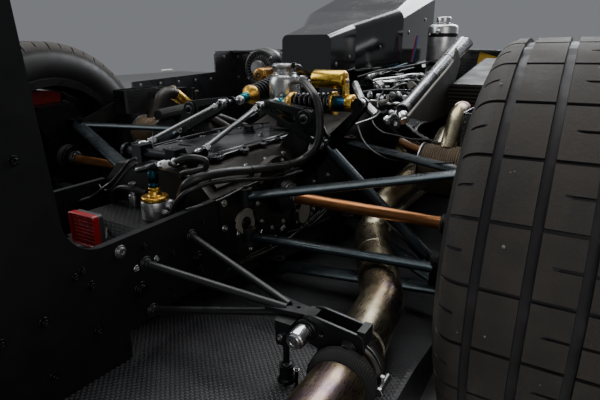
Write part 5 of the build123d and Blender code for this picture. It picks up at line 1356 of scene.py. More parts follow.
def build_wall_fittings(name, side):
    """Bolts, bosses, ribs and brackets on both sides of the case."""
    trim = Shape(f"gearbox_fittings_{name}", side)
    face = CASE_SIDE
    place = facing_out(face)
    for ahead, height, size in ((-116, 370, 7.5), (-143, 300, 7.5), (-38, 216, 5), (42, 246, 5), (51, 249, 5),
                                (-180, 356, 5), (-186, 262, 5), (-92, 244, 5), (210, 250, 6), (285, 250, 6),
                                (300, 330, 6), (300, 400, 6), (215, 330, 5), (80, 410, 5), (-30, 404, 5)):
        trim.nut((face, ahead, height), OUT, size)
    cover = [(0, 50), (5, 50), (6, 46), (9, 45), (10, 38), (8.5, 37), (8.5, 0)]
    trim.turned((face, 146, 262), OUT, cover, "casing", 60)
    for c, s in turns_of(8, 0.5):
        trim.bolt((face + 8.8, 146 + 42 * c, 262 + 42 * s), OUT, 3.2)
    trim.turned((face + 8.4, 146, 262), OUT, [(0, 30), (1.6, 30), (2.2, 26)], "stone", 48, 0.4)
    for c, s in turns_of(10):
        trim.bolt((face + 15.9, 82 * c, TYRE_R + 82 * s), OUT, 3.6)
    lug = rounded([(-156, 318), (-118, 286), (-84, 296), (-80, 334), (-104, 350), (-140, 344)], 10)
    trim.plate(lug, place, 0, 8, "stone", 1)
    trim.turned((face, -118, 318), OUT, [(6, 15), (12, 15), (13, 12), (13, 7)], "dark_steel", 28, 0.6)
    bracket = rounded([(-206, 316), (-180, 316), (-178, 384), (-150, 398), (-150, 404), (-196, 402),
                       (-204, 388)], 5)
    trim.plate(bracket, place, 2, 8, "dark_steel", 0.8)
    trim.bolt((face + 7, -192, 330), OUT, 4.6)
    trim.bolt((face + 7, -190, 386), OUT, 4.6)
    for start, end in (((-210, 240), (320, 190)), ((-60, 392), (320, 420)), ((-200, 300), (-96, 214)),
                       ((60, 330), (90, 190)), ((230, 410), (236, 200))):
        run = Vector(end) - Vector(start)
        off = Vector((-run.y, run.x)).normalized() * 3.2
        corners = [tuple(Vector(start) - off), tuple(Vector(end) - off), tuple(Vector(end) + off),
                   tuple(Vector(start) + off)]
        trim.plate(corners, place, -0.5, 5.5, "casing", 1.4)
    for ahead, height, long in ((-57, 275, 22), (-8, 240, 16), (98, 300, 18), (250, 300, 20)):
        trim.turned((face, ahead, height), OUT, [(0, 11), (6, 11), (7, 8), (long, 8), (long, 5)],
                    "dark_steel", 24, 0.8)
        trim.rod((face + 8, ahead, height), OUT, 0, 5, 10, "silver", 6)
    for low, high in ((-190, 300), (-150, 240), (60, 330)):
        bend = [(face + 7, low, 232), (face + 9, (low + high) / 2, 214), (face + 7, high, 236)]
        trim.tube(smooth_run(bend, 10), 2.6, "rubber", 10)
    shelf = ((130, 436), (152, 414), (154, 418), (133, 440))
    trim.block([[(x, ahead, height) for x, height in shelf] for ahead in (-196, 320)], "casing")
    for ahead in (-150, -70, 10, 90, 170, 250):
        trim.bolt((137, ahead, 434.4), OUT_AND_UP, 4)
    trim.done(ROOT, "casing")


class REAREND_OT_gearbox(bpy.types.Operator):
    """Build the gearbox's lid with its scalloped edge, and the fittings on the case."""

    bl_idname = "rear_end.gearbox"
    bl_label = "Gearbox"

    def execute(self, context):
        build_lid()
        for name, side in SIDES:
            build_wall_fittings(name, side)
        return {"FINISHED"}


STAY_X = 172.0
STAY_TIP = (440, -350, 296)
STAY_FEET = ((STAY_X, -414, 343), (STAY_X, -300, 353), (STAY_X, -410, 250))
TAIL_START = (503, -140, 230)
TAIL_TURN = (533, -395, 229)


def add_rods(stays):
    """The three rods, their feet on the plate and the pierced gusset."""
    for foot in STAY_FEET:
        run = (Vector(STAY_TIP) - Vector(foot)).normalized()
        end = Vector(STAY_TIP) - run * 22
        stays.turned(foot, run, [(6, 6.9), ((end - Vector(foot)).length, 6.9)], "rod_black", 24, 1)
        stays.turned(foot, OUT, [(0.2, 13), (3, 13), (4, 9), (10, 8)], "rod_black", 28, 0.6)
    for ahead in (-436, -392):
        stays.bolt((STAY_X + 3, ahead, 343), OUT, 3.4)
    gusset = [(388, -371), (452, -363), (462, -348), (454, -338), (418, -332), (396, -326), (402, -346)]
    holes = [circle_at(419, -347, 5.2), circle_at(437, -348, 3)]
    stays.pierced(gusset, holes, lying(0), 295.5, 302.5, "rod_black")
    stays.plate([(402, -366), (454, -360), (454, -340), (408, -336)], lying(0), 286, 296, "rod_black", 1.2)


def add_channel(stays):
    """The black channel from the tip to the clamp, with its bush and pivot."""
    for ahead in (-371.5, -340.5):
        wall = rounded([(452, 266), (500, 252), (546, 258), (560, 272), (556, 300),
                        (474, 310), (456, 304)], 7)
        stays.pierced(wall, [circle_at(490, 284, 4.5)], facing_back(0), ahead, ahead + 5, "rod_black")
    for low, high in ((456, 474), (546, 558)):
        ends = [[(low, ahead, 280), (high, ahead, 280), (high, ahead, 306),
                 (low, ahead, 306)] for ahead in (-368, -338)]
        stays.block(ends, "rod_black")
    bush = [(-36, 11), (-34, 14.5), (-12, 15.6), (-10, 15.6), (-9, 12.8), (-4, 12.8), (-3, 18.5), (1, 18.5),
            (2, 13), (30, 13)]
    tones = [(d, r, "bright" if d < -9.5 else "rod_black") for d, r in bush]
    stays.turned((463, -372, 283), AHEAD, tones, "bright", 40, 1)
    stays.turned((463, -404, 283), BACK, [(0, 9.5), (5, 9.5), (5, 6.2), (3, 5.8), (3, 0)], "bright", 30, 0.6)
    stays.turned((534, -372, 276), BACK, [(0, 13), (2.5, 13), (3, 9.5), (9, 9.5), (10, 7)],
                 "rod_black", 32, 0.6)
    stays.rod((534, -335, 276), AHEAD, 0, 7, 10, "steel", 6)
    tab = rounded([(526, 262), (542, 262), (541, 282), (527, 282)], 4)
    stays.plate(tab, facing_back(0), -382, -378, "header", 0.6)


def add_drop_link(stays):
    """The link down to the floor with its rubber mount."""
    x = STAY_TIP[0] - 12
    foot = 174.4
    stays.turned((x, -372, foot), UP, [(0, 19), (3, 19), (4, 15), (9, 14), (11, 11.5), (26, 11.5), (30, 9.5),
                                       (36, 9.5), (38, 5.2), (80, 5.2)], "rod_black", 32, 0.8)
    stays.rod((x, -372, foot + 31), UP, 0, 2.6, 12.4, "dark_steel", 32, 0.4)
    block = [level_ring((x - 11, x + 11), (-384, -360), foot + 76),
             level_ring((x - 14, x + 16), (-384, -356), 292)]
    stays.block(block, "rod_black")
    stays.bolt((x, -384, 268), BACK, 5.5, "steel", "rod_black")
    stays.rod((x + 20, -374, 210), DOWN, 0, 34.5, 3, "dark_steel", 12)
    stays.bolt((x + 20, -374, 206), UP, 3.2)


def add_clamp(stays):
    """The band clamp round the tail pipe, with its bolt and the welded collars."""
    run = Vector(TAIL_TURN) - Vector(TAIL_START)
    band = [(192, 43.6), (193, 47.5), (196, 52.5), (200, 53.5), (204, 50), (214, 49), (218, 53.5),
            (222, 52.5), (225, 47.5), (226, 43.6)]
    stays.turned(TAIL_START, run, band, "clamp_dark", 72, 0.5)
    stays.rod(TAIL_START, run, 205, 213, 51.2, "steel", 72, 0.5)
    ring = [(236, 44), (238, 50), (242, 53), (248, 51), (254, 53.4), (260, 50.5), (266, 47), (268, 44)]
    stays.turned(TAIL_START, run, ring, "black_wrap", 72, 0.6)
    low = along_line(TAIL_START, TAIL_TURN, 209)
    stays.rod((low.x + 58, low.y - 26, low.z - 8), AHEAD, 0, 40, 5.2, "steel", 20)
    stays.rod((low.x + 58, low.y - 30, low.z - 8), AHEAD, 0, 6, 7.5, "silver", 6)
    stays.rod((low.x + 54, low.y - 8, low.z - 16), (0.1, 0, 1), 0, 22, 4, "steel", 12, 0.6)
    for at, size in ((160, 44.8), (163, 44.2), (248, 44.8)):
        stays.turned(TAIL_START, run, [(at, size - 0.6), (at + 1.4, size), (at + 2.8, size - 0.6)],
                     "header", 64, 0.3)


class REAREND_OT_stays(bpy.types.Operator):
    """Build the stays that hold the tail pipes."""

    bl_idname = "rear_end.stays"
    bl_label = "Exhaust stays"

    def execute(self, context):
        stays = Shape("exhaust_stays_dressed")
        on_both_sides(stays, add_rods, add_channel, add_drop_link, add_clamp)
        stays.done(ROOT, "plates", "exhaust_stays", sharp=30)
        return {"FINISHED"}


TURBO = (0, 262, 400)  # on the line through both turbos

# Welds on the pipes: the pipe's two ends, its radius and how far along each bead lies
WELDS = (
    ((508, 462, 470), (512, 340, 560), 21.3, (30, 118)),
    ((452, 560, 420), (470, 390, 470), 21.3, (40, 150)),
    ((362, 150, 231), TAIL_START, 43.4, (120, 220)),
)


def add_left_dress(dress):
    """The left side's sleeve, foil and bracket."""
    pipe_run = (0, 205, 10)
    dress.turned((452, 236, 470), pipe_run, [(0, 15), (1, 19.6), (3, 20.6), (150, 20.6), (156, 19)],
                 "sleeve_black", 48, 1)
    dress.turned((452, 384, 477), pipe_run, [(0, 21.4), (2, 22.6), (7, 22.6), (8, 20)], "white", 48, 0.6)
    dress.rod((452, 368, 476.2), pipe_run, 0, 12, 21.8, "damper_black", 48, 0.6)
    frame_rim = [(567, 400), (722, 400), (655, 460), (554, 500)]
    hole = [(580, 408), (697, 408), (643, 452), (568, 482)]
    dress.pierced(rounded(frame_rim, 10), [rounded(hole, 6)], lying(0), 502, 542, "dark_steel")
    dress.turned((484, 470, 470), UP, [(0, 4), (52, 4), (54, 7), (62, 7), (66, 4)], "rod_black", 20, 0.6)
    dress.plate([(782, 600), (792, 600), (792, 660), (782, 660)], lying(0), 590, 598, "white", 2)
    dress.turned((508.3, 452, 477), (3, -70, 52), [(0, 21.6), (2, 22.6), (84, 22.6), (86, 21.6)], "foil", 40)
    dress.turned((500, 468, 478), UP, [(0, 9), (6, 9), (7, 4), (58, 4), (60, 5.5), (66, 5.5)],
                 "damper_black", 20, 0.6)


def build_exhaust_dress(name, side):
    """The turbo's wrap and clamps and the pipes' welds."""
    dress = Shape(f"exhaust_dress_{name}", side)
    ribs = [(452, 56)]
    for step in range(19):
        ribs += [(453 + step * 5, 59), (455.5 + step * 5, 62)]
    ribs.append((548, 56))
    dress.turned(TURBO, OUT, ribs, "wrap", 72, 0.6)
    dress.turned(TURBO, OUT, [(547, 40), (552, 40), (553, 34), (560, 33), (561, 20)], "header", 48)
    for at in (446.5, 549.5):
        dress.rod(TURBO, OUT, at, at + 4, 63.4, "steel", 72, 0.5)
    for start, end, radius, distances in WELDS:
        run = Vector(end) - Vector(start)
        for distance in distances:
            bead = [(0, radius), (1.3, radius + 0.9), (2.6, radius)]
            dress.turned(along_line(start, end, distance), run, bead, "header", 48, 0.3)
    if side < 0:
        add_left_dress(dress)
    dress.done(ROOT, "pipe")


class REAREND_OT_exhaust(bpy.types.Operator):
    """Dress the turbos and pipes: heat wrap, sleeve, foil, clamps and weld beads."""

    bl_idname = "rear_end.exhaust"
    bl_label = "Exhaust dress"

    def execute(self, context):
        for name, side in SIDES:
            build_exhaust_dress(name, side)
        return {"FINISHED"}


# Thin lines: finish, radius, places
THIN_LINES = (
    ("cable", 2.3, ((214, 336, 530), (228, 330, 508), (248, 310, 475), (277, 280, 448), (317, 250, 430),
                    (366, 220, 422), (419, 180, 429), (483, 130, 446), (514, 100, 451), (569, 50, 470))),
    ("cable", 2.3, ((250, 410, 506), (252, 400, 492), (269, 380, 476), (302, 360, 462), (355, 330, 462),
                    (404, 300, 462), (462, 270, 470))),
    ("link_grey", 3.2, ((200, 120, 470), (229, 140, 474), (251, 240, 491), (269, 360, 499), (274, 400, 510))),
    ("link_grey", 4.6, ((350, 410, 482), (360, 400, 478), (428, 330, 463), (486, 264, 464))),
    ("amber", 9, ((364, 340, 447), (403, 310, 440), (455, 270, 439))),
    ("bright", 4.2, ((170, 600, 584), (182, 620, 588), (232, 660, 594), (267, 700, 602), (303, 720, 600),
                     (330, 730, 590))),
    ("bright", 3.6, ((180, 580, 578), (197, 600, 583), (239, 630, 583), (268, 680, 586), (290, 730, 580))),
    ("bright", 4, ((200, 480, 530), (211, 500, 531), (252, 500, 525), (285, 520, 525), (300, 560, 520))),
    ("cable", 3, ((150, 520, 600), (200, 560, 618), (250, 640, 628), (300, 740, 640), (330, 840, 650))),
    ("cable", 3.4, ((190, 470, 560), (232, 500, 566), (262, 580, 560), (300, 640, 556), (312, 720, 560))),
    ("cable", 2.6, ((170, 560, 596), (210, 540, 580), (236, 520, 560), (240, 470, 545), (256, 430, 520))),
    ("rubber", 5.5, ((236, 560, 556), (262, 610, 574), (276, 660, 572), (300, 700, 556))),
    ("red_line", 2.4, ((232, 800, 640), (240, 800, 690), (246, 800, 730))),
    ("blue_line", 2.4, ((238, 792, 640), (247, 794, 690), (250, 800, 730))),
    ("cable", 2.8, ((164, -300, 404), (167, -210, 397), (172, -120, 404), (174, 0, 402), (172, 110, 396))),
    ("cable", 2.2, ((-130, -150, 458), (-100, 40, 470), (-60, 190, 476), (-44, 300, 470))),
    ("rubber", 7, ((-60, -290, 352), (-92, -262, 340), (-113, -240, 334), (-121, -238, 356),
                   (-112, -240, 377), (-86, -240, 393), (-50, -242, 398), (-10, -236, 392))),
    ("rubber", 8, ((-150, -240, 322), (-133, -235, 330), (-88, -232, 338), (-44, -230, 352), (10, -230, 366),
                   (50, -230, 372))),
    ("cable", 3.4, ((-162, -300, 366), (-150, -270, 372), (-120, -252, 396), (-95, -250, 412),
                    (-60, -250, 441), (-37, -250, 462), (-20, -244, 470))),
    ("cable", 2.8, ((-162, -240, 392), (-140, -246, 384), (-110, -250, 388), (-80, -250, 410),
                    (-50, -248, 438), (-24, -240, 458))),
    ("cable", 3, ((-140, -330, 340), (-60, -330, 346), (-10, -306, 352), (14, -262, 350), (8, -236, 340))),
    ("cable", 2.4, ((20, -400, 330), (10, -366, 336), (-26, -330, 344), (-60, -262, 350), (-62, -232, 356))),
    ("cable", 2.8, ((-128, -120, 452), (-122, 60, 462), (-118, 240, 470), (-150, 330, 470))),
)


# Fittings: place, direction, profile with its finish
FITTINGS = (
    ((-48, -240, 350), (0.04, 0, 1), [(0, 7, "steel"), (4, 10), (34, 10), (36, 7), (52, 7),
                                      (54, 9), (62, 9)]),
    ((-121, -238, 366), (0.1, 0, 1), [(0, 8.6, "dark_steel"), (7, 8.6)]),
    ((142, 620, 593), (16, 40, 12), [(0, 8, "silver"), (8, 10), (22, 10), (24, 7.5), (44, 7.5)]),
    ((158, 660, 605), (29, 60, 12), [(0, 9.5, "bright"), (10, 11.5), (26, 11.5), (30, 8), (62, 7), (70, 5)]),
    ((187, 720, 617), (35, 80, 15), [(0, 6, "teal_dark"), (12, 7.2), (20, 6), (84, 6)]),
    ((262, 408, 503), (40, 0, 6), [(0, 11, "dark_steel"), (6, 12.6), (12, 12.6), (13, 9.4), (26, 9.4),
                                   (27, 12), (34, 12)]),
    ((300, 418, 510), (24, -20, -14), [(0, 10, "steel"), (8, 12), (14, 12), (15, 9), (30, 9)]),
    ((322, 410, 500), (12, -26, -34), [(0, 9, "silver"), (5, 15.5), (12, 17), (18, 16.5), (20, 11), (34, 8)]),
    ((344, 392, 484), (40, -40, -16), [(0, 7, "dark_steel"), (4, 9), (16, 9), (17, 6)]),
    ((232, 500, 541), (0.5, -0.3, 0.8), [(0, 13, "silver"), (8, 13)]),
    ((214, 470, 548), (0.3, -0.8, 0.5), [(0, 8, "silver"), (14, 8), (16, 5), (26, 5)]),
    ((250, 470, 530), (0.8, -0.4, 0.3), [(0, 9, "stone"), (12, 9), (13, 6.5), (30, 6.5)]),
    ((270, 520, 548), (0.2, -0.9, 0.2), [(0, 10, "steel"), (16, 10), (18, 7), (40, 7)]),
    ((296, 560, 540), (0.2, -0.9, 0.1), [(0, 8, "silver"), (12, 8), (14, 6), (34, 6)]),
    ((206, 540, 566), (0.6, 0.5, 0.3), [(0, 9, "steel"), (10, 11), (24, 11), (26, 7)]),
    ((300, 640, 570), (-0.2, -0.9, 0.2), [(0, 9, "stone"), (14, 9), (16, 12), (28, 12)]),
)


class REAREND_OT_lines(bpy.types.Operator):
    """Build the thin lines, the braided hose and the plumbing."""

    bl_idname = "rear_end.lines"
    bl_label = "Lines and plumbing"

    def execute(self, context):
        lines = Shape("thin_lines")
        for finish, radius, places in THIN_LINES:
            lines.tube(smooth_run(places, 8), radius, finish, 10)
        braid = smooth_run([(138, 526, 580), (175, 480, 550), (197, 460, 534), (230, 430, 519),
                            (265, 404, 502)], 26)
        lines.tube(braid, 11.5, "brushed", 14, lambda index: 1 if index % 4 else 0.84)
        for at, way, profile in FITTINGS:
            lines.turned(at, way, [(d, r) for d, r, *_ in profile], profile[0][2],
                         24 if len(profile) > 2 else 6, 0.8)
        lines.done(ROOT, "hose")
        return {"FINISHED"}


HOSE_PLACES = ((77.7, -256.9, 387), (98, -249.6, 390), (120, -262, 416), (146, -270, 445), (168, -246, 457),
               (181, -190, 455), (185, -122, 444), (187, -45, 433), (192, 20, 425), (208, 66, 432),
               (234, 81, 460), (243, 86, 492), (242, 89, 526), (238, 90, 557), (222, 96, 584),
               (192, 118, 602), (160, 150, 611), (134, 200, 609), (112, 246, 606), (99.4, 250, 606))
SMALL_HOSE_PLACES = ((79.2, -271.1, 374), (97, -273.6, 375), (124, -286, 404), (150, -284, 430),
                     (172, -250, 442), (184, -190, 437), (187, -123, 424), (188, -60, 410), (188, 10, 399),
                     (187, 70, 394), (184, 104, 389), (158.4, 104, 388))
BREATHER_PLACES = ((109, -267, 480.3), (130, -264, 490), (152, -256, 494), (168, -242, 487), (164, -237, 472),
                   (142, -240, 463), (112, -244, 455), (100, -238, 444), (100, -220.4, 442))


def build_hoses():
    """Three hoses with clamped ends, and two clips that hold the first pair together."""
    hoses = Shape("hoses_dressed")
    for places, radius in ((HOSE_PLACES, 9.5), (SMALL_HOSE_PLACES, 4.6), (BREATHER_PLACES, 6)):
        line = smooth_run(places, 6)
        hoses.tube(line, radius, "rubber", 20)
        for first, second in ((line[0], line[4]), (line[-1], line[-5])):
            along = second - first
            hoses.rod(first, along, 1, 9, radius + 1.5, "steel", 32, 0.4)
            hoses.rod(first + along.normalized() * 3, along, 0, 3, radius + 2.1, "silver", 32, 0.3)
    for upper, lower in ((HOSE_PLACES[6], SMALL_HOSE_PLACES[6]), (HOSE_PLACES[8], SMALL_HOSE_PLACES[8])):
        hoses.rod(upper, (0.03, 1, -0.15), -2.5, 2.5, 10.4, "damper_black", 32, 0.5)
        hoses.rod(lower, (0.03, 1, -0.15), -2.5, 2.5, 5.4, "damper_black", 24, 0.5)
        gap = Vector(lower) - Vector(upper)
        hoses.rod(Vector(upper), gap, 9, gap.length - 4, 3, "damper_black", 10, 0.5)
    hoses.done(ROOT, "hose", "hoses")


class REAREND_OT_hoses(bpy.types.Operator):
    """Build the three hoses with their clips and ends."""

    bl_idname = "rear_end.hoses"
    bl_label = "Hoses"

    def execute(self, context):
        build_hoses()
        return {"FINISHED"}


TUBE_LOW = (363, 330, 526)
TUBE_HIGH = (415, 800, 712)


def build_support():
    """The support tube, which widens towards its open end."""
    tube = Shape("support_tube_dressed")
    run = Vector(TUBE_HIGH) - Vector(TUBE_LOW)
    span = run.length
    along = run.normalized()
    across = along.cross(Vector(UP)).normalized()
    rise = across.cross(along)
    rings = []
    outer = [(span - 15, 26.2, 0.8), (span - 40, 25.8, 0.5), (span - 80, 25.2, 0.2), (span - 120, 24.5, 0)]
    outer += [(span * share / 10, 17.6 + 0.9 * share * 0.98, 0) for share in range(7, 0, -1)] + [(6, 17.4, 0)]
    for distance, radius, slant in ((200, 18.5, 0), (span - 60, 22.5, 0.5), (span - 15, 24.2, 0.8), *outer):
        rings.append([Vector(TUBE_LOW) + along * (distance - slant * radius * s)
                      + (across * c + rise * s) * radius for c, s in turns_of(56)])
    # The bore and its floor are painted near black: painted shade inside the open end. The lip is polished
    # alloy, the outside a polished tube.
    tones = ["dark_steel"] * 2 + ["bright"] + ["tube_bright"] * (len(outer) - 1)
    rows = tube.skin(rings, tones)
    tube.face(rows[0][::-1], "dark_steel")
    tube.face(rows[-1], "dark_steel")
    for at, radius in ((span - 175, 24.4), (span - 300, 22.3)):
        tube.rod(along_line(TUBE_LOW, TUBE_HIGH, at), run, 0, 5, radius, "steel", 56, 0.4)
    tube.rod(TUBE_LOW, run, 8, 26, 20.2, "steel", 48, 1)
    for ahead in (620, 730):
        top = blend(TUBE_LOW, TUBE_HIGH, (ahead - 330) / 470)
        low = Vector((top.x - 70, ahead, top.z - 78))
        tube.rod(low, top - low, 0, (top - low).length - 16, 6, "steel", 20, 0.6)
        tube.rod(low, top - low, 8, 16, 8.6, "silver", 6)
    tube.turned(TUBE_LOW, (-0.8, 0.2, -0.5), [(10, 12), (24, 12), (26, 9), (44, 9), (46, 13),
                                              (54, 13)], "silver", 28)
    tube.turned(TUBE_LOW, (0.5, -0.6, -0.6), [(8, 14), (26, 15.5), (28, 12), (34, 12)], "bright")
    tube.done(ROOT, "alloy", "support_tube")


def build_liners():
    """The walls of the engine bay, with the right duct's woven wall and a yellow plate."""
    liners = Shape("bay_liners")
    for _, side in SIDES:
        liners.side = side
        sheet = [(110, 60), (366, 60), (366, 560), (300, 610), (110, 610)]
        liners.plate(rounded(sheet, 12), facing_back(0), 1102, 1106, "cover_black")
        for height in (120, 240, 360, 480):
            liners.turned((352, 1102, height), BACK, [(0, 7), (1.4, 7), (1.8, 4)], "steel", 18, 0.3)
    liners.side = 1
    wall = rounded([(148, 540), (328, 506), (505, 500), (560, 560), (640, 648), (570, 690), (538, 650)], 8)
    liners.plate(wall, facing_out(0), 434.5, 438.5, "duct_weave")
    rim = smooth_run([(436, 150, 541), (436, 340, 594), (436, 536, 650), (436, 568, 689)], 6)
    liners.tube(rim, 3.2, "stone", 10)
    yellow = rounded([(396, 600), (482, 598), (486, 648), (408, 674)], 6)
    liners.plate(yellow, facing_back(0), 1108.2, 1111.2, "yellow", 0.8)
    liners.done(ROOT, "plates")


class REAREND_OT_support(bpy.types.Operator):
    """Build the cover's support tube with its bands and struts, and the liners beside the engine."""

    bl_idname = "rear_end.support"
    bl_label = "Support tube"

    def execute(self, context):
        build_support()
        build_liners()
        return {"FINISHED"}


def add_bank(row):
    """Coils, injectors, leads, a rail and a loom along one bank."""
    for index in range(6):
        ahead = 606 + index * 84
        low = Vector((236, ahead, 516))
        coil = [(2, 17), (10, 17), (12, 13), (30, 12), (32, 15, "silver"), (40, 15, "silver"),
                (42, 9, "silver")]
        row.turned(low, OUT_AND_UP, coil, "damper_black", 28)
        row.turned((284, ahead + 20, 470), OUT_AND_UP, [(2, 11), (12, 11), (14, 7), (26, 7)],
                   "dark_steel", 20, 0.6)
        row.turned((198, ahead + 34, 540), (0.3, -0.3, 0.9), [(0, 8), (20, 8), (22, 11), (30, 11), (32, 6)],
                   "steel", 20, 0.6)
        lead = [(250, ahead, 548), (240, ahead + 14, 572), (216, ahead + 34, 580), (196, ahead + 60, 570)]
        row.tube(smooth_run(lead, 6), 3.4, "cable", 10)
        lead = [(292, ahead + 20, 492), (286, ahead + 4, 520), (262, ahead - 10, 548), (250, ahead - 2, 552)]
        row.tube(smooth_run(lead, 6), 2.6, "bright", 10)
    rail = [(196, 560, 572), (200, 640, 578), (200, 900, 584), (196, 1080, 582)]
    row.tube(smooth_run(rail, 6), 7, "brushed", 18)
    for ahead in range(600, 1080, 60):
        row.rod((199.5, ahead, 578 + (ahead - 600) * 0.012), AHEAD, 0, 8, 9.6, "steel", 20, 0.5)
    loom = [(330, 560, 424), (318, 660, 440), (322, 800, 436), (316, 940, 442), (320, 1080, 438)]
    row.tube(smooth_run(loom, 8), 8, "cable", 14, lambda index: 1 if index % 4 else 1.16)


class REAREND_OT_injection(bpy.types.Operator):
    """Build the coils, injectors and wiring along both cam covers."""

    bl_idname = "rear_end.injection"
    bl_label = "Injection and wiring"

    def execute(self, context):
        row = Shape("injection_dressed")
        on_both_sides(row, add_bank)
        row.done(ROOT, "steel")
        return {"FINISHED"}


PANEL_STUD = [(0, 8), (1.2, 8), (1.4, 5.2), (2.4, 5)]


def add_plate_bolts(bolts):
    """Bolts and washers on the plates behind the gearbox and on the pylons."""
    outer = 172.2
    washer = [(0, 11), (1.8, 11), (2, 7.4), (5.4, 7.2), (5.8, 3.4), (4.2, 3)]
    bolts.turned((outer, -461, 383), OUT, washer, "steel", 28, 0.3)
    for ahead, height, size in ((-413, 374, 3.8), (-350, 335, 3.2), (-266, 371, 3.6), (-277, 336, 3.4),
                                (-280, 276, 4.2), (-306, 362, 3), (-276, 260, 3.2), (-357, 269, 3.2),
                                (-355, 251, 3), (-531, 379, 3.6), (-544, 374, 3.6), (-520, 350, 4.4),
                                (-600, 330, 4.4), (-660, 330, 4.4), (-520, 270, 4.4), (-600, 240, 4.4),
                                (-600, 560, 4.4), (-690, 560, 4.4), (-610, 740, 4.4), (-690, 740, 4.4),
                                (-620, 880, 5), (-690, 880, 5)):
        bolts.bolt((outer, ahead, height), OUT, size, "dark_steel", "dark_steel")
    for ahead, height in ((-285, 300), (-430, 300)):
        bolts.turned((outer, ahead, height), OUT, [(0, 15), (2.5, 15), (3, 9), (8, 9)], "dark_steel", 30, 0.6)


def add_cover_bolts(bolts):
    """Bolts along the cam cover's edges and clips on the airbox."""
    for ahead in range(604, 1110, 84):
        for x, height in ((306, 444.4), (214, 536.4)):
            bolts.bolt((x, ahead, height), OUT_AND_UP, 4)
    for ahead, x, height in ((480, 91.5, 640), (560, 100, 660), (700, 151.5, 690), (860, 197.8, 740),
                             (1040, 202.4, 790)):
        bolts.turned((x, ahead, height), OUT, [(0, 7), (1.6, 7), (1.8, 4.6), (3.4, 4.2)], "steel", 20, 0.3)


def add_panel_studs(bolts):
    """Quarter-turn fasteners of the panels and the wing's end plates."""
    for ahead in range(480, 1140, 110):
        height = 540 if ahead < 950 else 640
        for x, way in ((791.8, INWARD), (800.2, OUT)):
            bolts.turned((x, ahead, height), way, PANEL_STUD, "steel", 20, 0.3)
    for ahead, height in ((-500, 950), (-600, 950), (-700, 962), (-760, 1010), (-810, 1040)):
        bolts.turned((908.2, ahead, height), OUT, [(0, 8), (1.4, 8), (1.6, 5), (2.6, 4.8)], "steel", 20, 0.3)
    for height in (120, 260, 400, 540, 640):
        bolts.turned((770, 1111.8, height), BACK, PANEL_STUD, "steel", 20, 0.3)


class REAREND_OT_fasteners(bpy.types.Operator):
    """Build the bolts of the plates, covers, panels and wing."""

    bl_idname = "rear_end.fasteners"
    bl_label = "Fasteners"

    def execute(self, context):
        bolts = Shape("plate_fasteners")
        on_both_sides(bolts, add_plate_bolts, add_cover_bolts, add_panel_studs)
        bolts.done(ROOT, "steel")
        return {"FINISHED"}


def soft_light(name, place, aim, size, power, colour=(1, 1, 1)):
    """A large square lamp that faces a point."""
    lamp = bpy.data.lights.new(name, "AREA")
    lamp.energy = power
    lamp.size = size
    lamp.color = colour
    holder = bpy.data.objects.new(name, lamp)
    holder.location = place
    holder.rotation_euler = (Vector(aim) - Vector(place)).to_track_quat("-Z", "Y").to_euler()
    bpy.context.scene.collection.objects.link(holder)


CAMERA_PLACE = (0.7706, -2.0714, 0.3675)
CAMERA_AIM = (-0.4755, 0.8231, -0.310)
FLOOR_LEVEL = -0.3302
FLOOR_REACH = 9.0


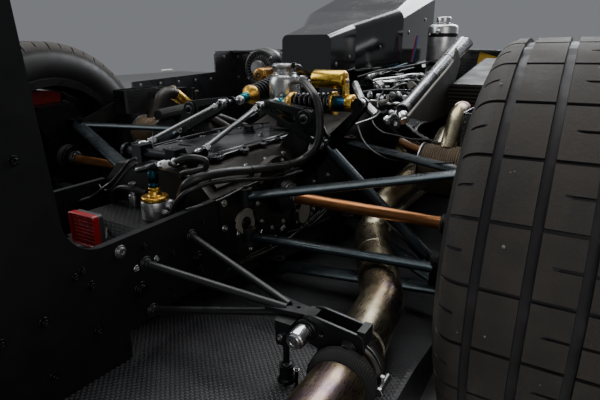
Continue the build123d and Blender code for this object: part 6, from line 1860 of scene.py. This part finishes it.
def set_stage():
    """The pale floor, the soft lights and the camera at the photograph's place."""
    scene = bpy.context.scene
    sheet = Sheet("Studio floor")
    tint = tuple(scene.rear_end_colours.floor)
    tone = sheet.mix(sheet.noise(2.0, 3.0), shade_of(tint, 0.97), shade_of(tint, 1.03))
    sheet.end(tone, 0.75)
    mesh = bpy.data.meshes.new("studio_floor")
    reach = FLOOR_REACH
    corners = [(-reach, -reach, 0), (reach, -reach, 0), (reach, reach, 0), (-reach, reach, 0)]
    mesh.from_pydata(corners, [], [(0, 1, 2, 3)])
    mesh.materials.append(sheet.material)
    floor = bpy.data.objects.new("studio_floor", mesh)
    floor.location = (0, -0.8, FLOOR_LEVEL)
    scene.collection.objects.link(floor)

    world = bpy.data.worlds.new("Studio")
    world.use_nodes = True
    world.node_tree.nodes["Background"].inputs["Color"].default_value = (0.80, 0.83, 0.88, 1)
    world.node_tree.nodes["Background"].inputs["Strength"].default_value = 0.24
    scene.world = world
    middle = (0, -0.9, 0.0)
    soft_light("top_light", (-0.4, -0.2, 3.4), middle, 3.2, 130)
    soft_light("left_light", (-3.6, -2.2, 1.9), middle, 2.4, 85, (0.95, 0.98, 1.0))
    soft_light("back_light", (0.6, 2.9, 2.2), middle, 2.6, 150, (0.94, 0.97, 1.0))
    soft_light("near_light", (2.6, -3.6, 1.6), middle, 2.0, 26, (1.0, 0.97, 0.93))

    lens = bpy.data.cameras.new("photo_camera")
    lens.sensor_width = 36.0
    lens.lens = scene.rear_end_sizes.lens
    lens.clip_start = 0.02
    camera = bpy.data.objects.new("photo_camera", lens)
    camera.location = CAMERA_PLACE
    camera.rotation_euler = Vector(CAMERA_AIM).to_track_quat("-Z", "Y").to_euler()
    scene.collection.objects.link(camera)
    scene.camera = camera


class REAREND_OT_stage(bpy.types.Operator):
    """Set the floor, the lights and the camera."""

    bl_idname = "rear_end.stage"
    bl_label = "Stage"

    def execute(self, context):
        set_stage()
        return {"FINISHED"}


OPERATORS = (
    REAREND_OT_finishes,
    REAREND_OT_tyres,
    REAREND_OT_dampers,
    REAREND_OT_vessels,
    REAREND_OT_alternator,
    REAREND_OT_lamp,
    REAREND_OT_cooling,
    REAREND_OT_driveshafts,
    REAREND_OT_rockers,
    REAREND_OT_gearbox,
    REAREND_OT_stays,
    REAREND_OT_exhaust,
    REAREND_OT_lines,
    REAREND_OT_hoses,
    REAREND_OT_support,
    REAREND_OT_injection,
    REAREND_OT_fasteners,
    REAREND_OT_stage,
)


class REAREND_PT_panel(bpy.types.Panel):
    """Lists the colours, the sizes and the steps in the sidebar."""

    bl_idname = "REAREND_PT_panel"
    bl_label = "Rear End"
    bl_space_type = "VIEW_3D"
    bl_region_type = "UI"
    bl_category = "Rear End"

    def draw(self, context):
        """Draw the settings and one button for each step."""
        scene = context.scene
        for group in (scene.rear_end_colours, scene.rear_end_sizes):
            for key in group.__annotations__:
                self.layout.prop(group, key)
        for operator in OPERATORS:
            self.layout.operator(operator.bl_idname)


CLASSES = (RearEndColours, RearEndSizes, *OPERATORS, REAREND_PT_panel)


def register():
    """Register the classes and the settings."""
    for item in CLASSES:
        bpy.utils.register_class(item)
    bpy.types.Scene.rear_end_colours = bpy.props.PointerProperty(type=RearEndColours)
    bpy.types.Scene.rear_end_sizes = bpy.props.PointerProperty(type=RearEndSizes)


def unregister():
    """Remove the settings and the classes."""
    del bpy.types.Scene.rear_end_sizes
    del bpy.types.Scene.rear_end_colours
    for item in reversed(CLASSES):
        bpy.utils.unregister_class(item)


def main():
    """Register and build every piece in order."""
    register()
    for operator in OPERATORS:
        group, name = operator.bl_idname.split(".")
        getattr(getattr(bpy.ops, group), name)()


if __name__ == "__main__":
    main()
